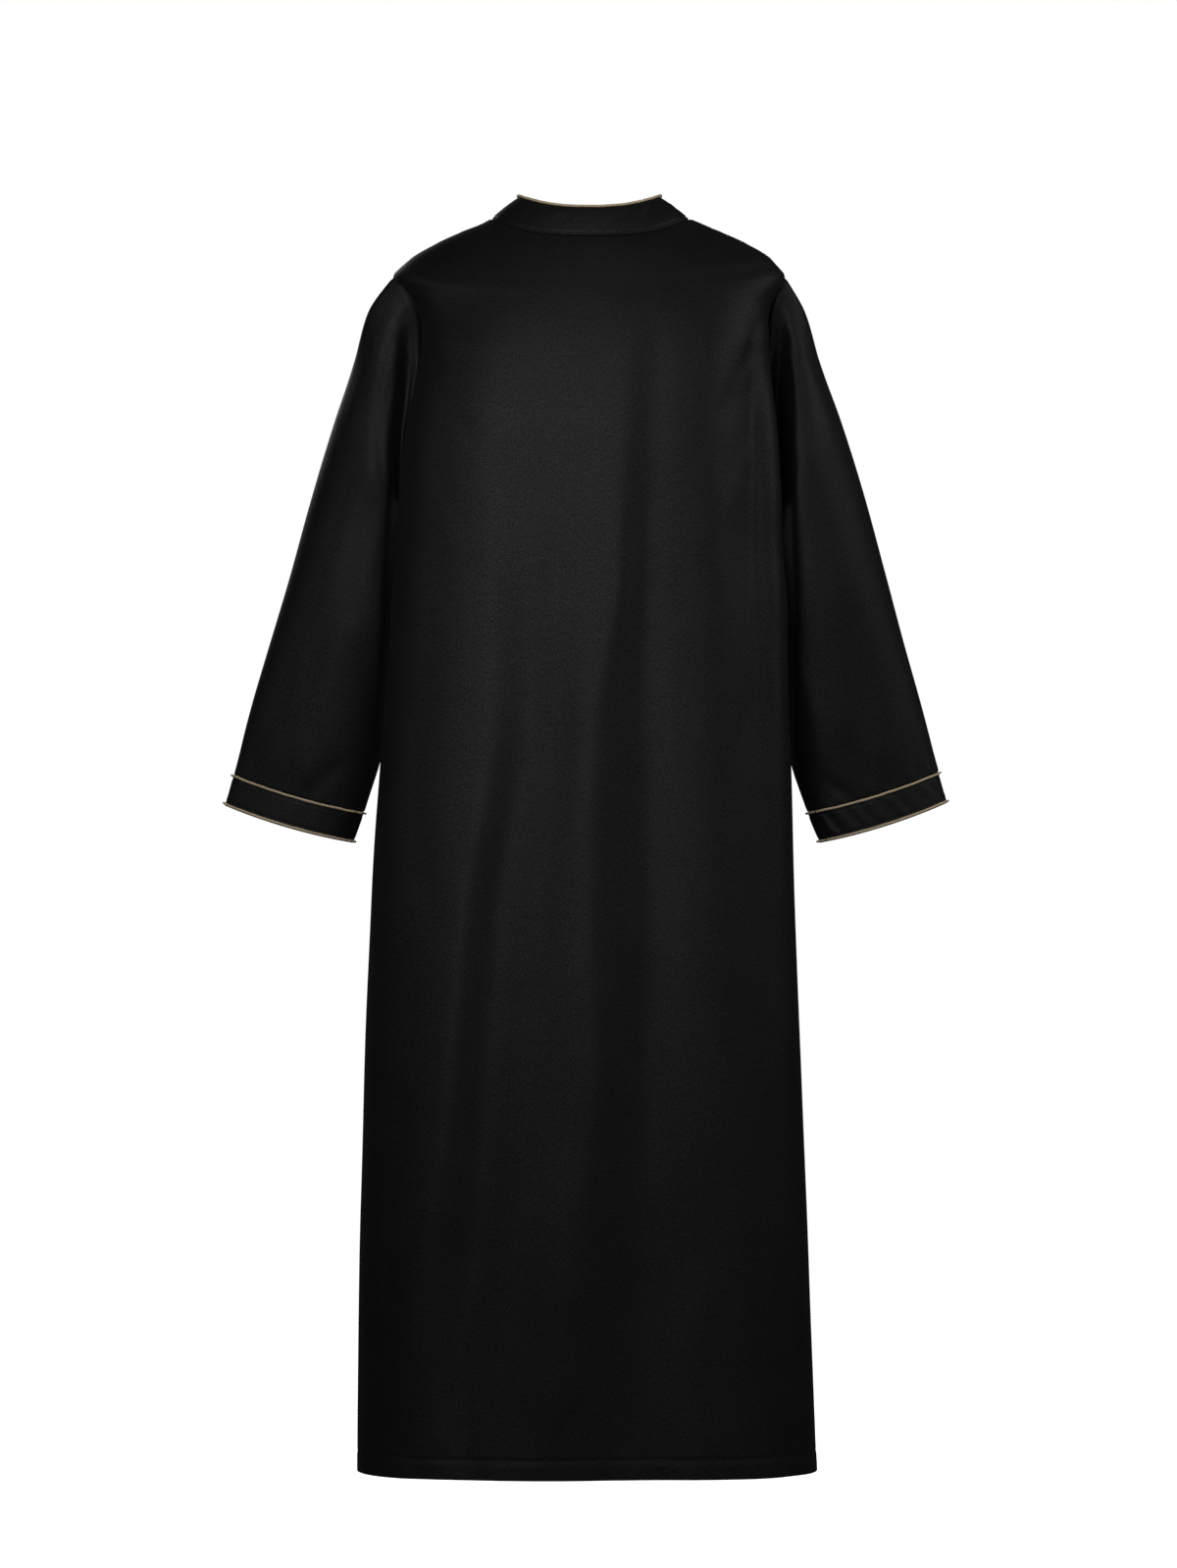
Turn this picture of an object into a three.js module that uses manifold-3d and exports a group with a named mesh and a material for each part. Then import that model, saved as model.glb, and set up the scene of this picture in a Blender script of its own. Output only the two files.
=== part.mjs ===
// A long black thobe, ankle length, with a standing collar, straight long sleeves and narrow
// cuffs edged in gold piping. It keeps the hollow shape it has when it is worn, with nobody in it.
//
// Millimetres, +Z up, +X towards the garment's own left, -Y towards its front. The origin is the
// middle of the neck, level with the collar seam at the back, where the wearer carries it.
//
// The body is one smooth surface of rings stacked down the side of the garment. The back and the
// front are cut from it along the shoulder seams, armholes and side seams, and each piece is a
// closed wall of cloth behind that surface.

import * as THREE from "three";
import Module from "manifold-3d";

const wasm = await Module();
wasm.setup();

// Rows of values under named columns.
const table = (columns, ...rows) =>
  rows.map((row) => Object.fromEntries(columns.map((column, i) => [column, row[i]])));

// Cloth and trim
const clothThick = 1.5; // twill with its pressed seams, as a wall
const bandThick = 2.2; // collar and cuffs: two layers and interfacing
const seamGap = 0.3; // between pieces that are sewn together
const facetGap = 0.45; // the same between faceted faces, which take up some of it
const pipingRadius = 1.35; // gold satin cord in the collar and cuff seams
const pipingSides = 6;
const pipingEndGap = 0.4; // between the two ends of a cuff's piping
const facingPeek = 1.0; // how far a band's inner layer shows past its piping

// Placket of the front opening
const placketHalf = 17;
const placketLength = 350; // from the neck seam down the front
const placketThick = 1.4;
const slitWidth = 2;
const slitDepth = 80; // the slit is cut from well before the front to well behind it
const slitMargin = 20;

// Buttons
const buttonRadius = 5.75;
const buttonThick = 2.4;
const buttonCount = 5;
const firstButton = 26; // below the neck seam
const buttonPitch = 70;
const buttonSides = 14;

// Steps over which the slope of a surface is measured
const nearPath = 1.5;
const nearAngle = 0.025;
const nearShare = 0.05;

// Fineness of the walls
const backColumns = 28;
const frontSideColumns = 10; // each side of the placket
const shoulderStep = 24;
const armholeStep = 32;
const skirtStep = 80;

// Rings of the body from the neck seam to the hem, all in mm.
// z and half: height and half width of the ring at its sides. shift: how far the ring sits
// towards the left. back and front: depth behind and before the side. backDrop and frontDrop:
// how much lower the ring is in the middle than at its sides. square: fullness of the back's
// corners, 2 for an ellipse. armBack and armFront: how far behind the middle each piece's side
// edge lies, which makes the armhole and then the side seam.
const bodyRings = table(
  ["z", "half", "shift", "back", "front", "backDrop", "frontDrop", "square", "armBack", "armFront"],
  [   16.5,   111,   -2,  56,  66, 24, 77,    2,   0,   0],
  [     10,   125, -3.9,  61,  73, 24, 82,    2,   0,   0],
  [      3,   142,   -3,  66,  77, 24, 83,    2,   0,   0],
  [     -8,   167, -3.3,  72,  82, 24, 82,    2,   0,   0],
  [    -17,   184, -3.3,  76,  85, 24, 80,    2,   0,   0],
  [    -26,   199, -2.9,  80,  88, 23, 77,    2,   0,   0],
  [    -36, 209.5, -1.6,  83,  91, 22, 73,    2,   0,   0],
  [    -49,   220, -0.6,  87,  94, 20, 67, 2.05,   0,   0],
  [    -60,   213,   -4,  90,  96, 18, 63,  2.1,   4, -10],
  [    -71,   205,   -5,  92,  99, 16, 58,  2.2,   7, -20],
  [    -83,   198,   -6,  95, 102, 14, 53, 2.35,  10, -31],
  [   -103,   194,   -7,  98, 105, 11, 46,  2.5,  13, -44],
  [   -133,   194,   -6, 102, 110,  7, 35,  2.6,  14, -57],
  [   -172,   198,   -3, 105, 115,  3, 23,  2.6,  12, -62],
  [   -214,   203,    0, 107, 119,  0, 12,  2.6,   6, -58],
  [   -252,   206,    1, 108, 121,  0,  5, 2.55,  -2, -46],
  [   -277,   208,    2, 108, 122,  0,  2,  2.5,  -9, -33],
  [   -290,   209,    2, 108, 122,  0,  0,  2.5, -19, -19],
  [   -351,   212,    3, 107, 123,  0,  0,  2.5, -19, -19],
  [   -410,   217,    3, 106, 124,  0,  0,  2.5, -19, -19],
  [   -480,   220,  3.6, 106, 126,  0,  0,  2.5, -19, -19],
  [   -582, 225.5,  4.3, 108, 128,  0,  0,  2.5, -19, -19],
  [   -700,   231,    5, 111, 130,  0,  0,  2.5, -19, -19],
  [   -836,   236,    5, 115, 133,  0,  0,  2.5, -19, -19],
  [  -1055,   244,    3, 119, 136,  0,  0,  2.5, -19, -19],
  [  -1275,   252,    2, 123, 139,  0,  0,  2.5, -19, -19],
  [  -1383, 255.5,    1, 127, 140,  0,  0,  2.5, -19, -19],
);
const shoulderRing = 7;
const armpitRing = 17;

// Long folds that fall from the shoulder blades and the chest: ridges, and troughs with a height
// below nothing. topZ: where the fold begins. topX, midX and lowX: where its line lies there, at hip
// height and at the hem. height and heightLow: how far it lifts the cloth at hip height and at the
// hem. toLeft and toRight: how wide it is on either side of its line.
const foldMidZ = -640;
const hemZ = -1383;
const foldFree = 60; // folds fade out this near to the side seams
const foldGrowth = 260; // a fold reaches its height this far below its beginning
const backFolds = table(
  ["name", "topZ", "topX", "midX", "lowX", "height", "heightLow", "toLeft", "toRight"],
  ["main trough", -150,  -72,  -55,  -78, -8, -12, 30, 26],
  ["middle ridge", -130,  -28,   27,   77,  6,   8, 46, 32],
  ["right ridge", -200, -104, -104, -150,  4,   4, 26, 32],
  ["right trough", -160, -168, -172, -206, -4, -11, 28, 40],
  ["left trough", -340,   88,  104,  160, -5,  -4, 30, 34],
  ["left ridge", -380,  143,  150,  222,  4,   7, 32, 34],
);
const frontFolds = table(
  ["name", "topZ", "topX", "midX", "lowX", "height", "heightLow", "toLeft", "toRight"],
  ["chest ridge left", -260,   86,   92,  118,  6,  12, 36, 30],
  ["trough left", -340,   38,   40,   52, -4,  -8, 24, 34],
  ["chest ridge right", -240,  -90,  -84,  -62,  6,  10, 30, 38],
  ["trough right", -400, -140, -136, -140, -5, -10, 30, 26],
  ["side ridge right", -520, -176, -178, -202,  3,   7, 24, 28],
  ["side trough left", -460,  164,  168,  186, -4,  -8, 30, 28],
);

// Stations down the left sleeve. outX, outZ and inX, inZ: its outer and inner edge as seen from
// behind. midY: depth of the edges. deep: half its depth. sag: how much lower its front and back
// hang. The right sleeve is the same but for rightOut and rightIn, how much nearer in its edges
// hang, and rightUp, how much higher its outer edge is.
const sleeveStations = table(
  ["outX", "outZ", "inX", "inZ", "midY", "deep", "sag", "rightOut", "rightIn", "rightUp"],
  [  219,  -49,   209,   -290, -22, 36, 0,   0,   0, 0],
  [247.5,  -87,   215,   -302, -28, 48, 0,   5,   0, 0],
  [  264, -140,   215,   -318, -38, 54, 0,   4,   0, 0],
  [287.5, -208,   213,   -345, -48, 56, 0,   2,   0, 0],
  [313.5, -296,   212,   -390, -54, 55, 1,   0,   2, 0],
  [  339, -386,   213,   -450, -57, 51, 2,   1,   4, 0],
  [365.5, -474,   219,   -520, -60, 44, 3,   4,   6, 0],
  [  389, -555,   236,   -594, -62, 36, 4,   5,   7, 1],
  [402.5, -608, 254.5, -650.5, -64, 30, 4, 5.5,   6, 3],
  [412.5, -642, 266.5, -684.5, -65, 28, 4,   6, 4.5, 3],
);
const cuffStation = 8; // the seam between sleeve and cuff
const elbowStation = 4; // each sleeve is two simpler pieces, which meet here
const armholeLift = 0.25; // how far the sleeve's edge lies over the body's at their seam
const joinStation = 3; // from here down a ring is a plain oval
const sleeveSteps = [2, 2, 2, 2, 2, 2, 2, 1];
const underarmColumn = 11; // where the sleeve seam lies on the cuff

// The top edge of the collar
const collarTop = { half: 77, shift: -1, back: 44, front: 50, z: 42.4, backDrop: 15, frontDrop: 72 };
const collarRows = 3;
const collarHeight = 36; // along the band, which turns a distance on it into a share
const collarBelly = 1.3; // the band bows out this much between its edges
const collarDip = 2.4; // how closely its top edge keeps to the sides before it dips
const collarOpening = 1.5; // between the collar's ends at the middle of the front

const black = new THREE.MeshStandardMaterial({ color: 0x141414, roughness: 0.78, metalness: 0 });
const gold = new THREE.MeshStandardMaterial({ color: 0xd9b48c, roughness: 0.4, metalness: 0 });
const horn = new THREE.MeshStandardMaterial({ color: 0x101010, roughness: 0.35, metalness: 0 });

const clamp = (value, low, high) => Math.min(high, Math.max(low, value));
const ease = (share) => {
  const t = clamp(share, 0, 1);
  return t * t * (3 - 2 * t);
};

// A smooth curve through the given values that meets each one and never swings past it.
function curveThrough(keys, values) {
  const last = keys.length - 1;
  const slopes = keys.slice(1).map((key, i) => (values[i + 1] - values[i]) / (key - keys[i]));
  const tangents = values.map((_, i) => {
    if (i === 0) return slopes[0];
    if (i === last) return slopes[last - 1];
    const before = slopes[i - 1];
    const after = slopes[i];
    return before * after <= 0 ? 0 : (2 * before * after) / (before + after);
  });
  return (key) => {
    const k = clamp(key, keys[0], keys[last]);
    let i = 0;
    while (i < last - 1 && k > keys[i + 1]) i += 1;
    const span = keys[i + 1] - keys[i];
    const t = (k - keys[i]) / span;
    const rise = values[i + 1] - values[i];
    const a = tangents[i] * span;
    const b = tangents[i + 1] * span;
    return values[i] + t * (a + t * (3 * rise - 2 * a - b + t * (a + b - 2 * rise)));
  };
}

// Turns a table into one function that gives every column at a distance along it.
function tableCurves(rows, distances) {
  const curves = {};
  for (const name of Object.keys(rows[0]))
    curves[name] = curveThrough(distances, rows.map((row) => row[name]));
  return (distance) => {
    const made = {};
    for (const name of Object.keys(curves)) made[name] = curves[name](distance);
    return made;
  };
}

// Distance along a line of points from its start to each of them.
function runningLength(points) {
  const lengths = [0];
  for (let i = 1; i < points.length; i += 1)
    lengths.push(lengths[i - 1] + points[i].distanceTo(points[i - 1]));
  return lengths;
}

const sidePath = runningLength(bodyRings.map((ring) => new THREE.Vector3(ring.half, 0, ring.z)));
const ringAt = tableCurves(bodyRings, sidePath);
const pathEnd = sidePath[sidePath.length - 1];
const shoulderPath = sidePath[shoulderRing];
const armpitPath = sidePath[armpitRing];

// How far the folds lift the cloth off its ring at a point.
function foldHeight(folds, x, z) {
  let height = 0;
  for (const fold of folds) {
    const upper = ease((fold.topZ - z) / (fold.topZ - foldMidZ));
    const lower = ease((foldMidZ - z) / (foldMidZ - hemZ));
    const line = fold.topX + (fold.midX - fold.topX) * upper + (fold.lowX - fold.midX) * lower;
    const offLine = (x - line) / (x > line ? fold.toLeft : fold.toRight);
    const full = fold.height + (fold.heightLow - fold.height) * lower;
    height += full * Math.exp(-(offLine ** 2)) * ease((fold.topZ - z) / foldGrowth);
  }
  return height;
}

// A point on the body's outer face. path runs down the side, and angle goes round the ring:
// 0 at the left side, a quarter turn at the back, minus a quarter turn at the front.
function bodyPoint(path, angle) {
  const ring = ringAt(path);
  const across = Math.cos(angle);
  const along = Math.sin(angle);
  const isBack = along >= 0;
  const square = isBack ? ring.square : 2;
  const depth = isBack ? ring.back : ring.front;
  const x = ring.half * Math.sign(across) * Math.abs(across) ** (2 / square);
  const y = depth * Math.sign(along) * Math.abs(along) ** (2 / square);
  const drop = (isBack ? ring.backDrop : ring.frontDrop) * (1 - Math.abs(x / ring.half) ** 3);
  const z = ring.z - drop;
  const outX = (Math.sign(x) * Math.abs(x / ring.half) ** (square - 1)) / ring.half;
  const outY = (Math.sign(y) * Math.abs(y / depth) ** (square - 1)) / depth;
  const length = Math.hypot(outX, outY);
  const lift = foldHeight(isBack ? backFolds : frontFolds, x, z) * ease(Math.abs(y) / foldFree);
  return new THREE.Vector3(x + ring.shift + (outX / length) * lift, y + (outY / length) * lift, z);
}

function outwardNormal(surface, u, v, du, dv) {
  const alongU = surface(u + du, v).sub(surface(u - du, v));
  const alongV = surface(u, v + dv).sub(surface(u, v - dv));
  return alongU.cross(alongV).normalize();
}

const bodyNormal = (path, angle) =>
  outwardNormal((p, a) => bodyPoint(clamp(p, 0, pathEnd), a), path, angle, nearPath, nearAngle);

// The angle on a ring at which the cloth's depth is y, on the left or the right side.
function angleAtDepth(path, y, isLeft) {
  const ring = ringAt(path);
  const square = y >= 0 ? ring.square : 2;
  const depth = y >= 0 ? ring.back : ring.front;
  const angle = Math.sign(y) * Math.asin((Math.abs(y) / depth) ** (square / 2));
  return isLeft ? angle : Math.PI - angle;
}

// The angle on a ring's front at which the cloth is x from the middle.
const frontAngleAtX = (path, x) => {
  const ring = ringAt(path);
  return -Math.acos(clamp((x - ring.shift) / ring.half, -1, 1));
};

// Angles evenly spaced along the cloth between two angles of one ring, without the first one.
function evenAngles(path, from, to, count) {
  const samples = 48;
  const angles = Array.from({ length: samples + 1 }, (_, i) => from + ((to - from) * i) / samples);
  const lengths = runningLength(angles.map((angle) => bodyPoint(path, angle)));
  const angleOf = curveThrough(lengths, angles);
  return Array.from({ length: count }, (_, i) => angleOf((lengths[samples] * (i + 1)) / count));
}

// The rows of a body panel: every ring of the table, and more between them.
function panelRows() {
  const rows = [0];
  for (let i = 1; i < sidePath.length; i += 1) {
    const span = sidePath[i] - sidePath[i - 1];
    const longest = i <= shoulderRing ? shoulderStep : i <= armpitRing ? armholeStep : skirtStep;
    const parts = Math.ceil(span / longest);
    for (let k = 1; k <= parts; k += 1) rows.push(sidePath[i - 1] + (span * k) / parts);
  }
  return rows;
}

// Joins an outer and an inner sheet of points into one closed wall. A sheet is a list of rows.
// When the rows are closed rings, the last column joins the first.
function wall(outer, inner, isRing) {
  const rows = outer.length;
  const columns = outer[0].length;
  const at = (layer, row, column) => layer * rows * columns + row * columns + (column % columns);
  const faces = [];
  const quad = (a, b, c, d) => faces.push(a, b, c, a, c, d);
  const lastColumn = isRing ? columns : columns - 1;
  for (let row = 0; row < rows - 1; row += 1)
    for (let column = 0; column < lastColumn; column += 1) {
      quad(at(0, row, column), at(0, row + 1, column), at(0, row + 1, column + 1), at(0, row, column + 1));
      quad(at(1, row, column), at(1, row, column + 1), at(1, row + 1, column + 1), at(1, row + 1, column));
    }
  for (let column = 0; column < lastColumn; column += 1) {
    quad(at(0, 0, column), at(0, 0, column + 1), at(1, 0, column + 1), at(1, 0, column));
    const end = rows - 1;
    quad(at(0, end, column), at(1, end, column), at(1, end, column + 1), at(0, end, column + 1));
  }
  if (!isRing)
    for (let row = 0; row < rows - 1; row += 1) {
      quad(at(0, row, 0), at(1, row, 0), at(1, row + 1, 0), at(0, row + 1, 0));
      const edge = columns - 1;
      quad(at(0, row, edge), at(0, row + 1, edge), at(1, row + 1, edge), at(1, row, edge));
    }
  return solidGeometry([...outer.flat(), ...inner.flat()], faces);
}

// Points and faces as a geometry whose faces look outwards.
function solidGeometry(points, faces) {
  let sixVolumes = 0;
  for (let i = 0; i < faces.length; i += 3) {
    const [a, b, c] = [points[faces[i]], points[faces[i + 1]], points[faces[i + 2]]];
    sixVolumes += a.dot(b.clone().cross(c));
  }
  const geometry = new THREE.BufferGeometry().setFromPoints(points);
  geometry.setIndex(sixVolumes < 0 ? faces.reverse() : faces);
  geometry.computeVertexNormals();
  return geometry;
}

// Moves a sheet of points along their normals.
const moved = (points, normals, distance) =>
  points.map((row, i) => row.map((p, k) => p.clone().addScaledVector(normals[i][k], distance)));

const rowPaths = panelRows();

function backAngles(path) {
  const edge = ringAt(path).armBack + seamGap / 2;
  const left = angleAtDepth(path, edge, true);
  return [left, ...evenAngles(path, left, angleAtDepth(path, edge, false), backColumns)];
}

// The front's columns include the placket's edges and middle, so that the placket can lie on them.
function frontAngles(path) {
  const edge = ringAt(path).armFront - seamGap / 2;
  const left = angleAtDepth(path, edge, true);
  const right = angleAtDepth(path, edge, false) - 2 * Math.PI;
  const stops = [placketHalf, 0, -placketHalf].map((x) => frontAngleAtX(path, x));
  return [
    left,
    ...evenAngles(path, left, stops[0], frontSideColumns),
    stops[1],
    stops[2],
    ...evenAngles(path, stops[2], right, frontSideColumns),
  ];
}

function bodySheet(anglesOf) {
  const angles = rowPaths.map(anglesOf);
  return {
    points: rowPaths.map((path, i) => angles[i].map((angle) => bodyPoint(path, angle))),
    normals: rowPaths.map((path, i) => angles[i].map((angle) => bodyNormal(path, angle))),
  };
}

// A closed mesh as a solid that can be cut, and back.
function toSolid(geometry) {
  const mesh = new wasm.Mesh({
    numProp: 3,
    vertProperties: new Float32Array(geometry.getAttribute("position").array),
    triVerts: new Uint32Array(geometry.index.array),
  });
  return new wasm.Manifold(mesh);
}

function toGeometry(solid) {
  const mesh = solid.getMesh();
  const geometry = new THREE.BufferGeometry();
  geometry.setAttribute("position", new THREE.BufferAttribute(mesh.vertProperties, 3));
  geometry.setIndex(new THREE.BufferAttribute(mesh.triVerts, 1));
  return geometry;
}

function boxSolid(low, high) {
  const corners = [];
  for (const z of [low.z, high.z])
    for (const [x, y] of [[low.x, low.y], [high.x, low.y], [high.x, high.y], [low.x, high.y]])
      corners.push(x, y, z);
  const geometry = new THREE.BufferGeometry();
  geometry.setAttribute("position", new THREE.Float32BufferAttribute(corners, 3));
  geometry.setIndex([
    0, 2, 1, 0, 3, 2, 4, 5, 6, 4, 6, 7, 0, 1, 5, 0, 5, 4,
    1, 2, 6, 1, 6, 5, 2, 3, 7, 2, 7, 6, 3, 0, 4, 3, 4, 7,
  ]);
  return toSolid(geometry);
}

// The armhole's seam as the sleeve meets it: from the shoulder down the back panel's edge to the
// underarm, and up the front panel's edge again. Each point lies a seam's gap off that edge.
function armholeSeam(isLeft) {
  const between = rowPaths.filter((path) => path > shoulderPath + 1 && path < armpitPath - 1);
  const edge = (paths, column, offset) =>
    paths.map((path) => ({ path, depth: ringAt(path)[column] + offset }));
  const stops = [
    ...edge([shoulderPath], "armBack", 0),
    ...edge(between, "armBack", seamGap / 2),
    ...edge([armpitPath], "armBack", 0),
    ...edge([...between].reverse(), "armFront", -seamGap / 2),
  ];
  const angles = stops.map((stop) => angleAtDepth(stop.path, stop.depth, isLeft));
  const points = stops.map((stop, i) => bodyPoint(stop.path, angles[i]));
  const normals = stops.map((stop, i) => bodyNormal(stop.path, angles[i]));
  const count = points.length;
  const seam = points.map((point, i) => {
    const along = points[(i + 1) % count].clone().sub(points[(i + count - 1) % count]);
    const intoHole = along.cross(normals[i]).normalize();
    if (!isLeft) intoHole.negate();
    return point.clone().addScaledVector(intoHole, seamGap).addScaledVector(normals[i], armholeLift);
  });
  const half = count / 2;
  const lengths = runningLength([...seam, seam[0]]);
  const back = lengths[half];
  const front = lengths[count] - back;
  const turns = lengths.map((length, i) => {
    const share = i <= half ? length / back : 1 + (length - back) / front;
    return Math.PI * share;
  });
  const curves = ["x", "y", "z"].map((axis) => curveThrough(turns, [...seam, seam[0]].map((p) => p[axis])));
  return {
    turns: turns.slice(0, count),
    normals,
    at: (turn) => new THREE.Vector3(...curves.map((curve) => curve(turn))),
  };
}

const stationPath = runningLength(
  sleeveStations.map((s) => new THREE.Vector3((s.outX + s.inX) / 2, s.midY, (s.outZ + s.inZ) / 2)),
);
const stationAt = tableCurves(sleeveStations, stationPath);
const cuffPath = stationPath[cuffStation];
const cuffEnd = stationPath[stationPath.length - 1];

// An oval across the sleeve at a distance down it. turn goes round it: 0 at its outer edge,
// a quarter turn at the back, a half turn at the underarm.
function sleeveOval(path, turn, isLeft) {
  const s = stationAt(path);
  const outX = isLeft ? s.outX : -(s.outX - s.rightOut);
  const inX = isLeft ? s.inX : -(s.inX - s.rightIn);
  const outZ = isLeft ? s.outZ : s.outZ + s.rightUp;
  const share = (1 + Math.cos(turn)) / 2;
  const z = s.inZ + (outZ - s.inZ) * share - s.sag * Math.sin(turn) ** 2;
  return new THREE.Vector3(inX + (outX - inX) * share, s.midY + s.deep * Math.sin(turn), z);
}

// A sleeve's outer face. It leaves the armhole's seam and settles into plain ovals lower down.
function sleeveSurface(isLeft, armhole) {
  return (path, turn) => {
    const round = ((turn % (2 * Math.PI)) + 2 * Math.PI) % (2 * Math.PI);
    const offSeam = armhole.at(round).sub(sleeveOval(0, round, isLeft));
    const settled = clamp(path / stationPath[joinStation], 0, 1);
    return sleeveOval(path, round, isLeft).addScaledVector(offSeam, 1 - Math.sin((settled * Math.PI) / 2));
  };
}

const sleeveNormal = (surface, path, turn, isLeft) => {
  const inside = (p, t) => surface(clamp(p, 0, cuffEnd), t);
  const normal = outwardNormal(inside, path, turn, nearPath, nearAngle);
  return isLeft ? normal : normal.negate();
};

function tubeSheet(surface, paths, turns, isLeft) {
  return {
    points: paths.map((path) => turns.map((turn) => surface(path, turn))),
    normals: paths.map((path) => turns.map((turn) => sleeveNormal(surface, path, turn, isLeft))),
  };
}

function named(name, geometry, material) {
  const mesh = new THREE.Mesh(geometry, material);
  mesh.name = name;
  return mesh;
}

// A length of piping that lies on a surface, along points of it with their normals.
function pipingOn(points, normals) {
  const rows = points.map((point, i) => {
    const along = points[Math.min(i + 1, points.length - 1)].clone().sub(points[Math.max(i - 1, 0)]);
    const side = along.cross(normals[i]).normalize();
    const centre = point.clone().addScaledVector(normals[i], seamGap + pipingRadius);
    return Array.from({ length: pipingSides }, (_, k) => {
      const turn = (k / pipingSides) * 2 * Math.PI;
      const up = centre.clone().addScaledVector(normals[i], pipingRadius * Math.cos(turn));
      return up.addScaledVector(side, pipingRadius * Math.sin(turn));
    });
  });
  const last = rows.length - 1;
  const faces = [];
  for (let row = 0; row < last; row += 1)
    for (let k = 0; k < pipingSides; k += 1) {
      const a = row * pipingSides + k;
      const b = row * pipingSides + ((k + 1) % pipingSides);
      faces.push(a, a + pipingSides, b + pipingSides, a, b + pipingSides, b);
    }
  for (let k = 1; k < pipingSides - 1; k += 1) {
    const end = last * pipingSides;
    faces.push(0, k, k + 1, end, end + k + 1, end + k);
  }
  return solidGeometry(rows.flat(), faces);
}

function bodyPanels() {
  const back = bodySheet(backAngles);
  const front = bodySheet(frontAngles);
  const frontWall = wall(front.points, moved(front.points, front.normals, -clothThick), false);
  const middle = (front.points[0].length - 1) / 2;
  const top = front.points[0][middle];
  const slit = boxSolid(
    new THREE.Vector3(-slitWidth / 2, top.y - slitDepth, top.z - placketLength + placketHalf),
    new THREE.Vector3(slitWidth / 2, top.y + slitMargin, top.z + slitMargin),
  );
  return [
    named("back_panel", wall(back.points, moved(back.points, back.normals, -clothThick), false), black),
    named("front_panel", toGeometry(toSolid(frontWall).subtract(slit)), black),
    ...placket(front, middle),
  ];
}

// The placket's two strips and its buttons, made from the front's own points.
function placket(front, middle) {
  const neckZ = front.points[0][middle].z;
  const isOnStrip = (row) => front.points[row][middle].z > neckZ - placketLength - 1;
  const rows = rowPaths.map((_, row) => row).filter(isOnStrip);
  const strip = (sheet) => rows.map((row) => sheet[row].slice(middle - 1, middle + 2));
  const points = strip(front.points);
  const normals = strip(front.normals);
  const layer = (inside, outside) =>
    wall(moved(points, normals, outside), moved(points, normals, inside), false);
  const face = seamGap + placketThick;
  const pieces = [
    named("placket_over", layer(seamGap, face), black),
    named("placket_under", layer(-clothThick - face, -clothThick - seamGap), black),
  ];
  const centre = points.map((row) => row[1]);
  const lengths = runningLength(centre);
  for (let i = 0; i < buttonCount; i += 1) {
    const distance = firstButton + i * buttonPitch;
    const row = lengths.findIndex((length) => length > distance);
    const share = (distance - lengths[row - 1]) / (lengths[row] - lengths[row - 1]);
    const place = centre[row - 1].clone().lerp(centre[row], share);
    const normal = normals[row - 1][1].clone().lerp(normals[row][1], share).normalize();
    const button = named(`button_${i + 1}`, buttonShape(), horn);
    button.position.copy(place.addScaledVector(normal, face + facetGap));
    button.quaternion.setFromUnitVectors(new THREE.Vector3(0, 1, 0), normal);
    pieces.push(button);
  }
  return pieces;
}

// A flat button with a raised rim, lying on its back with its face along +Y.
function buttonShape() {
  const rim = 0.5;
  const bed = 1.3;
  const profile = [
    [0, 0],
    [buttonRadius - rim, 0],
    [buttonRadius, rim],
    [buttonRadius, buttonThick - rim],
    [buttonRadius - rim, buttonThick],
    [buttonRadius - bed, buttonThick],
    [buttonRadius - 2 * bed, buttonThick - rim],
    [0, buttonThick - rim],
  ];
  return new THREE.LatheGeometry(profile.map(([r, h]) => new THREE.Vector2(r, h)), buttonSides);
}

// Distances down the sleeve of the rings between two stations, clear of the seams at both.
function sleevePaths(from, to) {
  const paths = [from === 0 ? 0 : stationPath[from] + seamGap / 2];
  sleeveSteps.slice(from, to).forEach((parts, i) => {
    const start = stationPath[from + i];
    const span = stationPath[from + i + 1] - start;
    for (let k = 1; k <= parts; k += 1) paths.push(start + (span * k) / parts);
  });
  paths[paths.length - 1] -= seamGap / 2;
  return paths;
}

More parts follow.
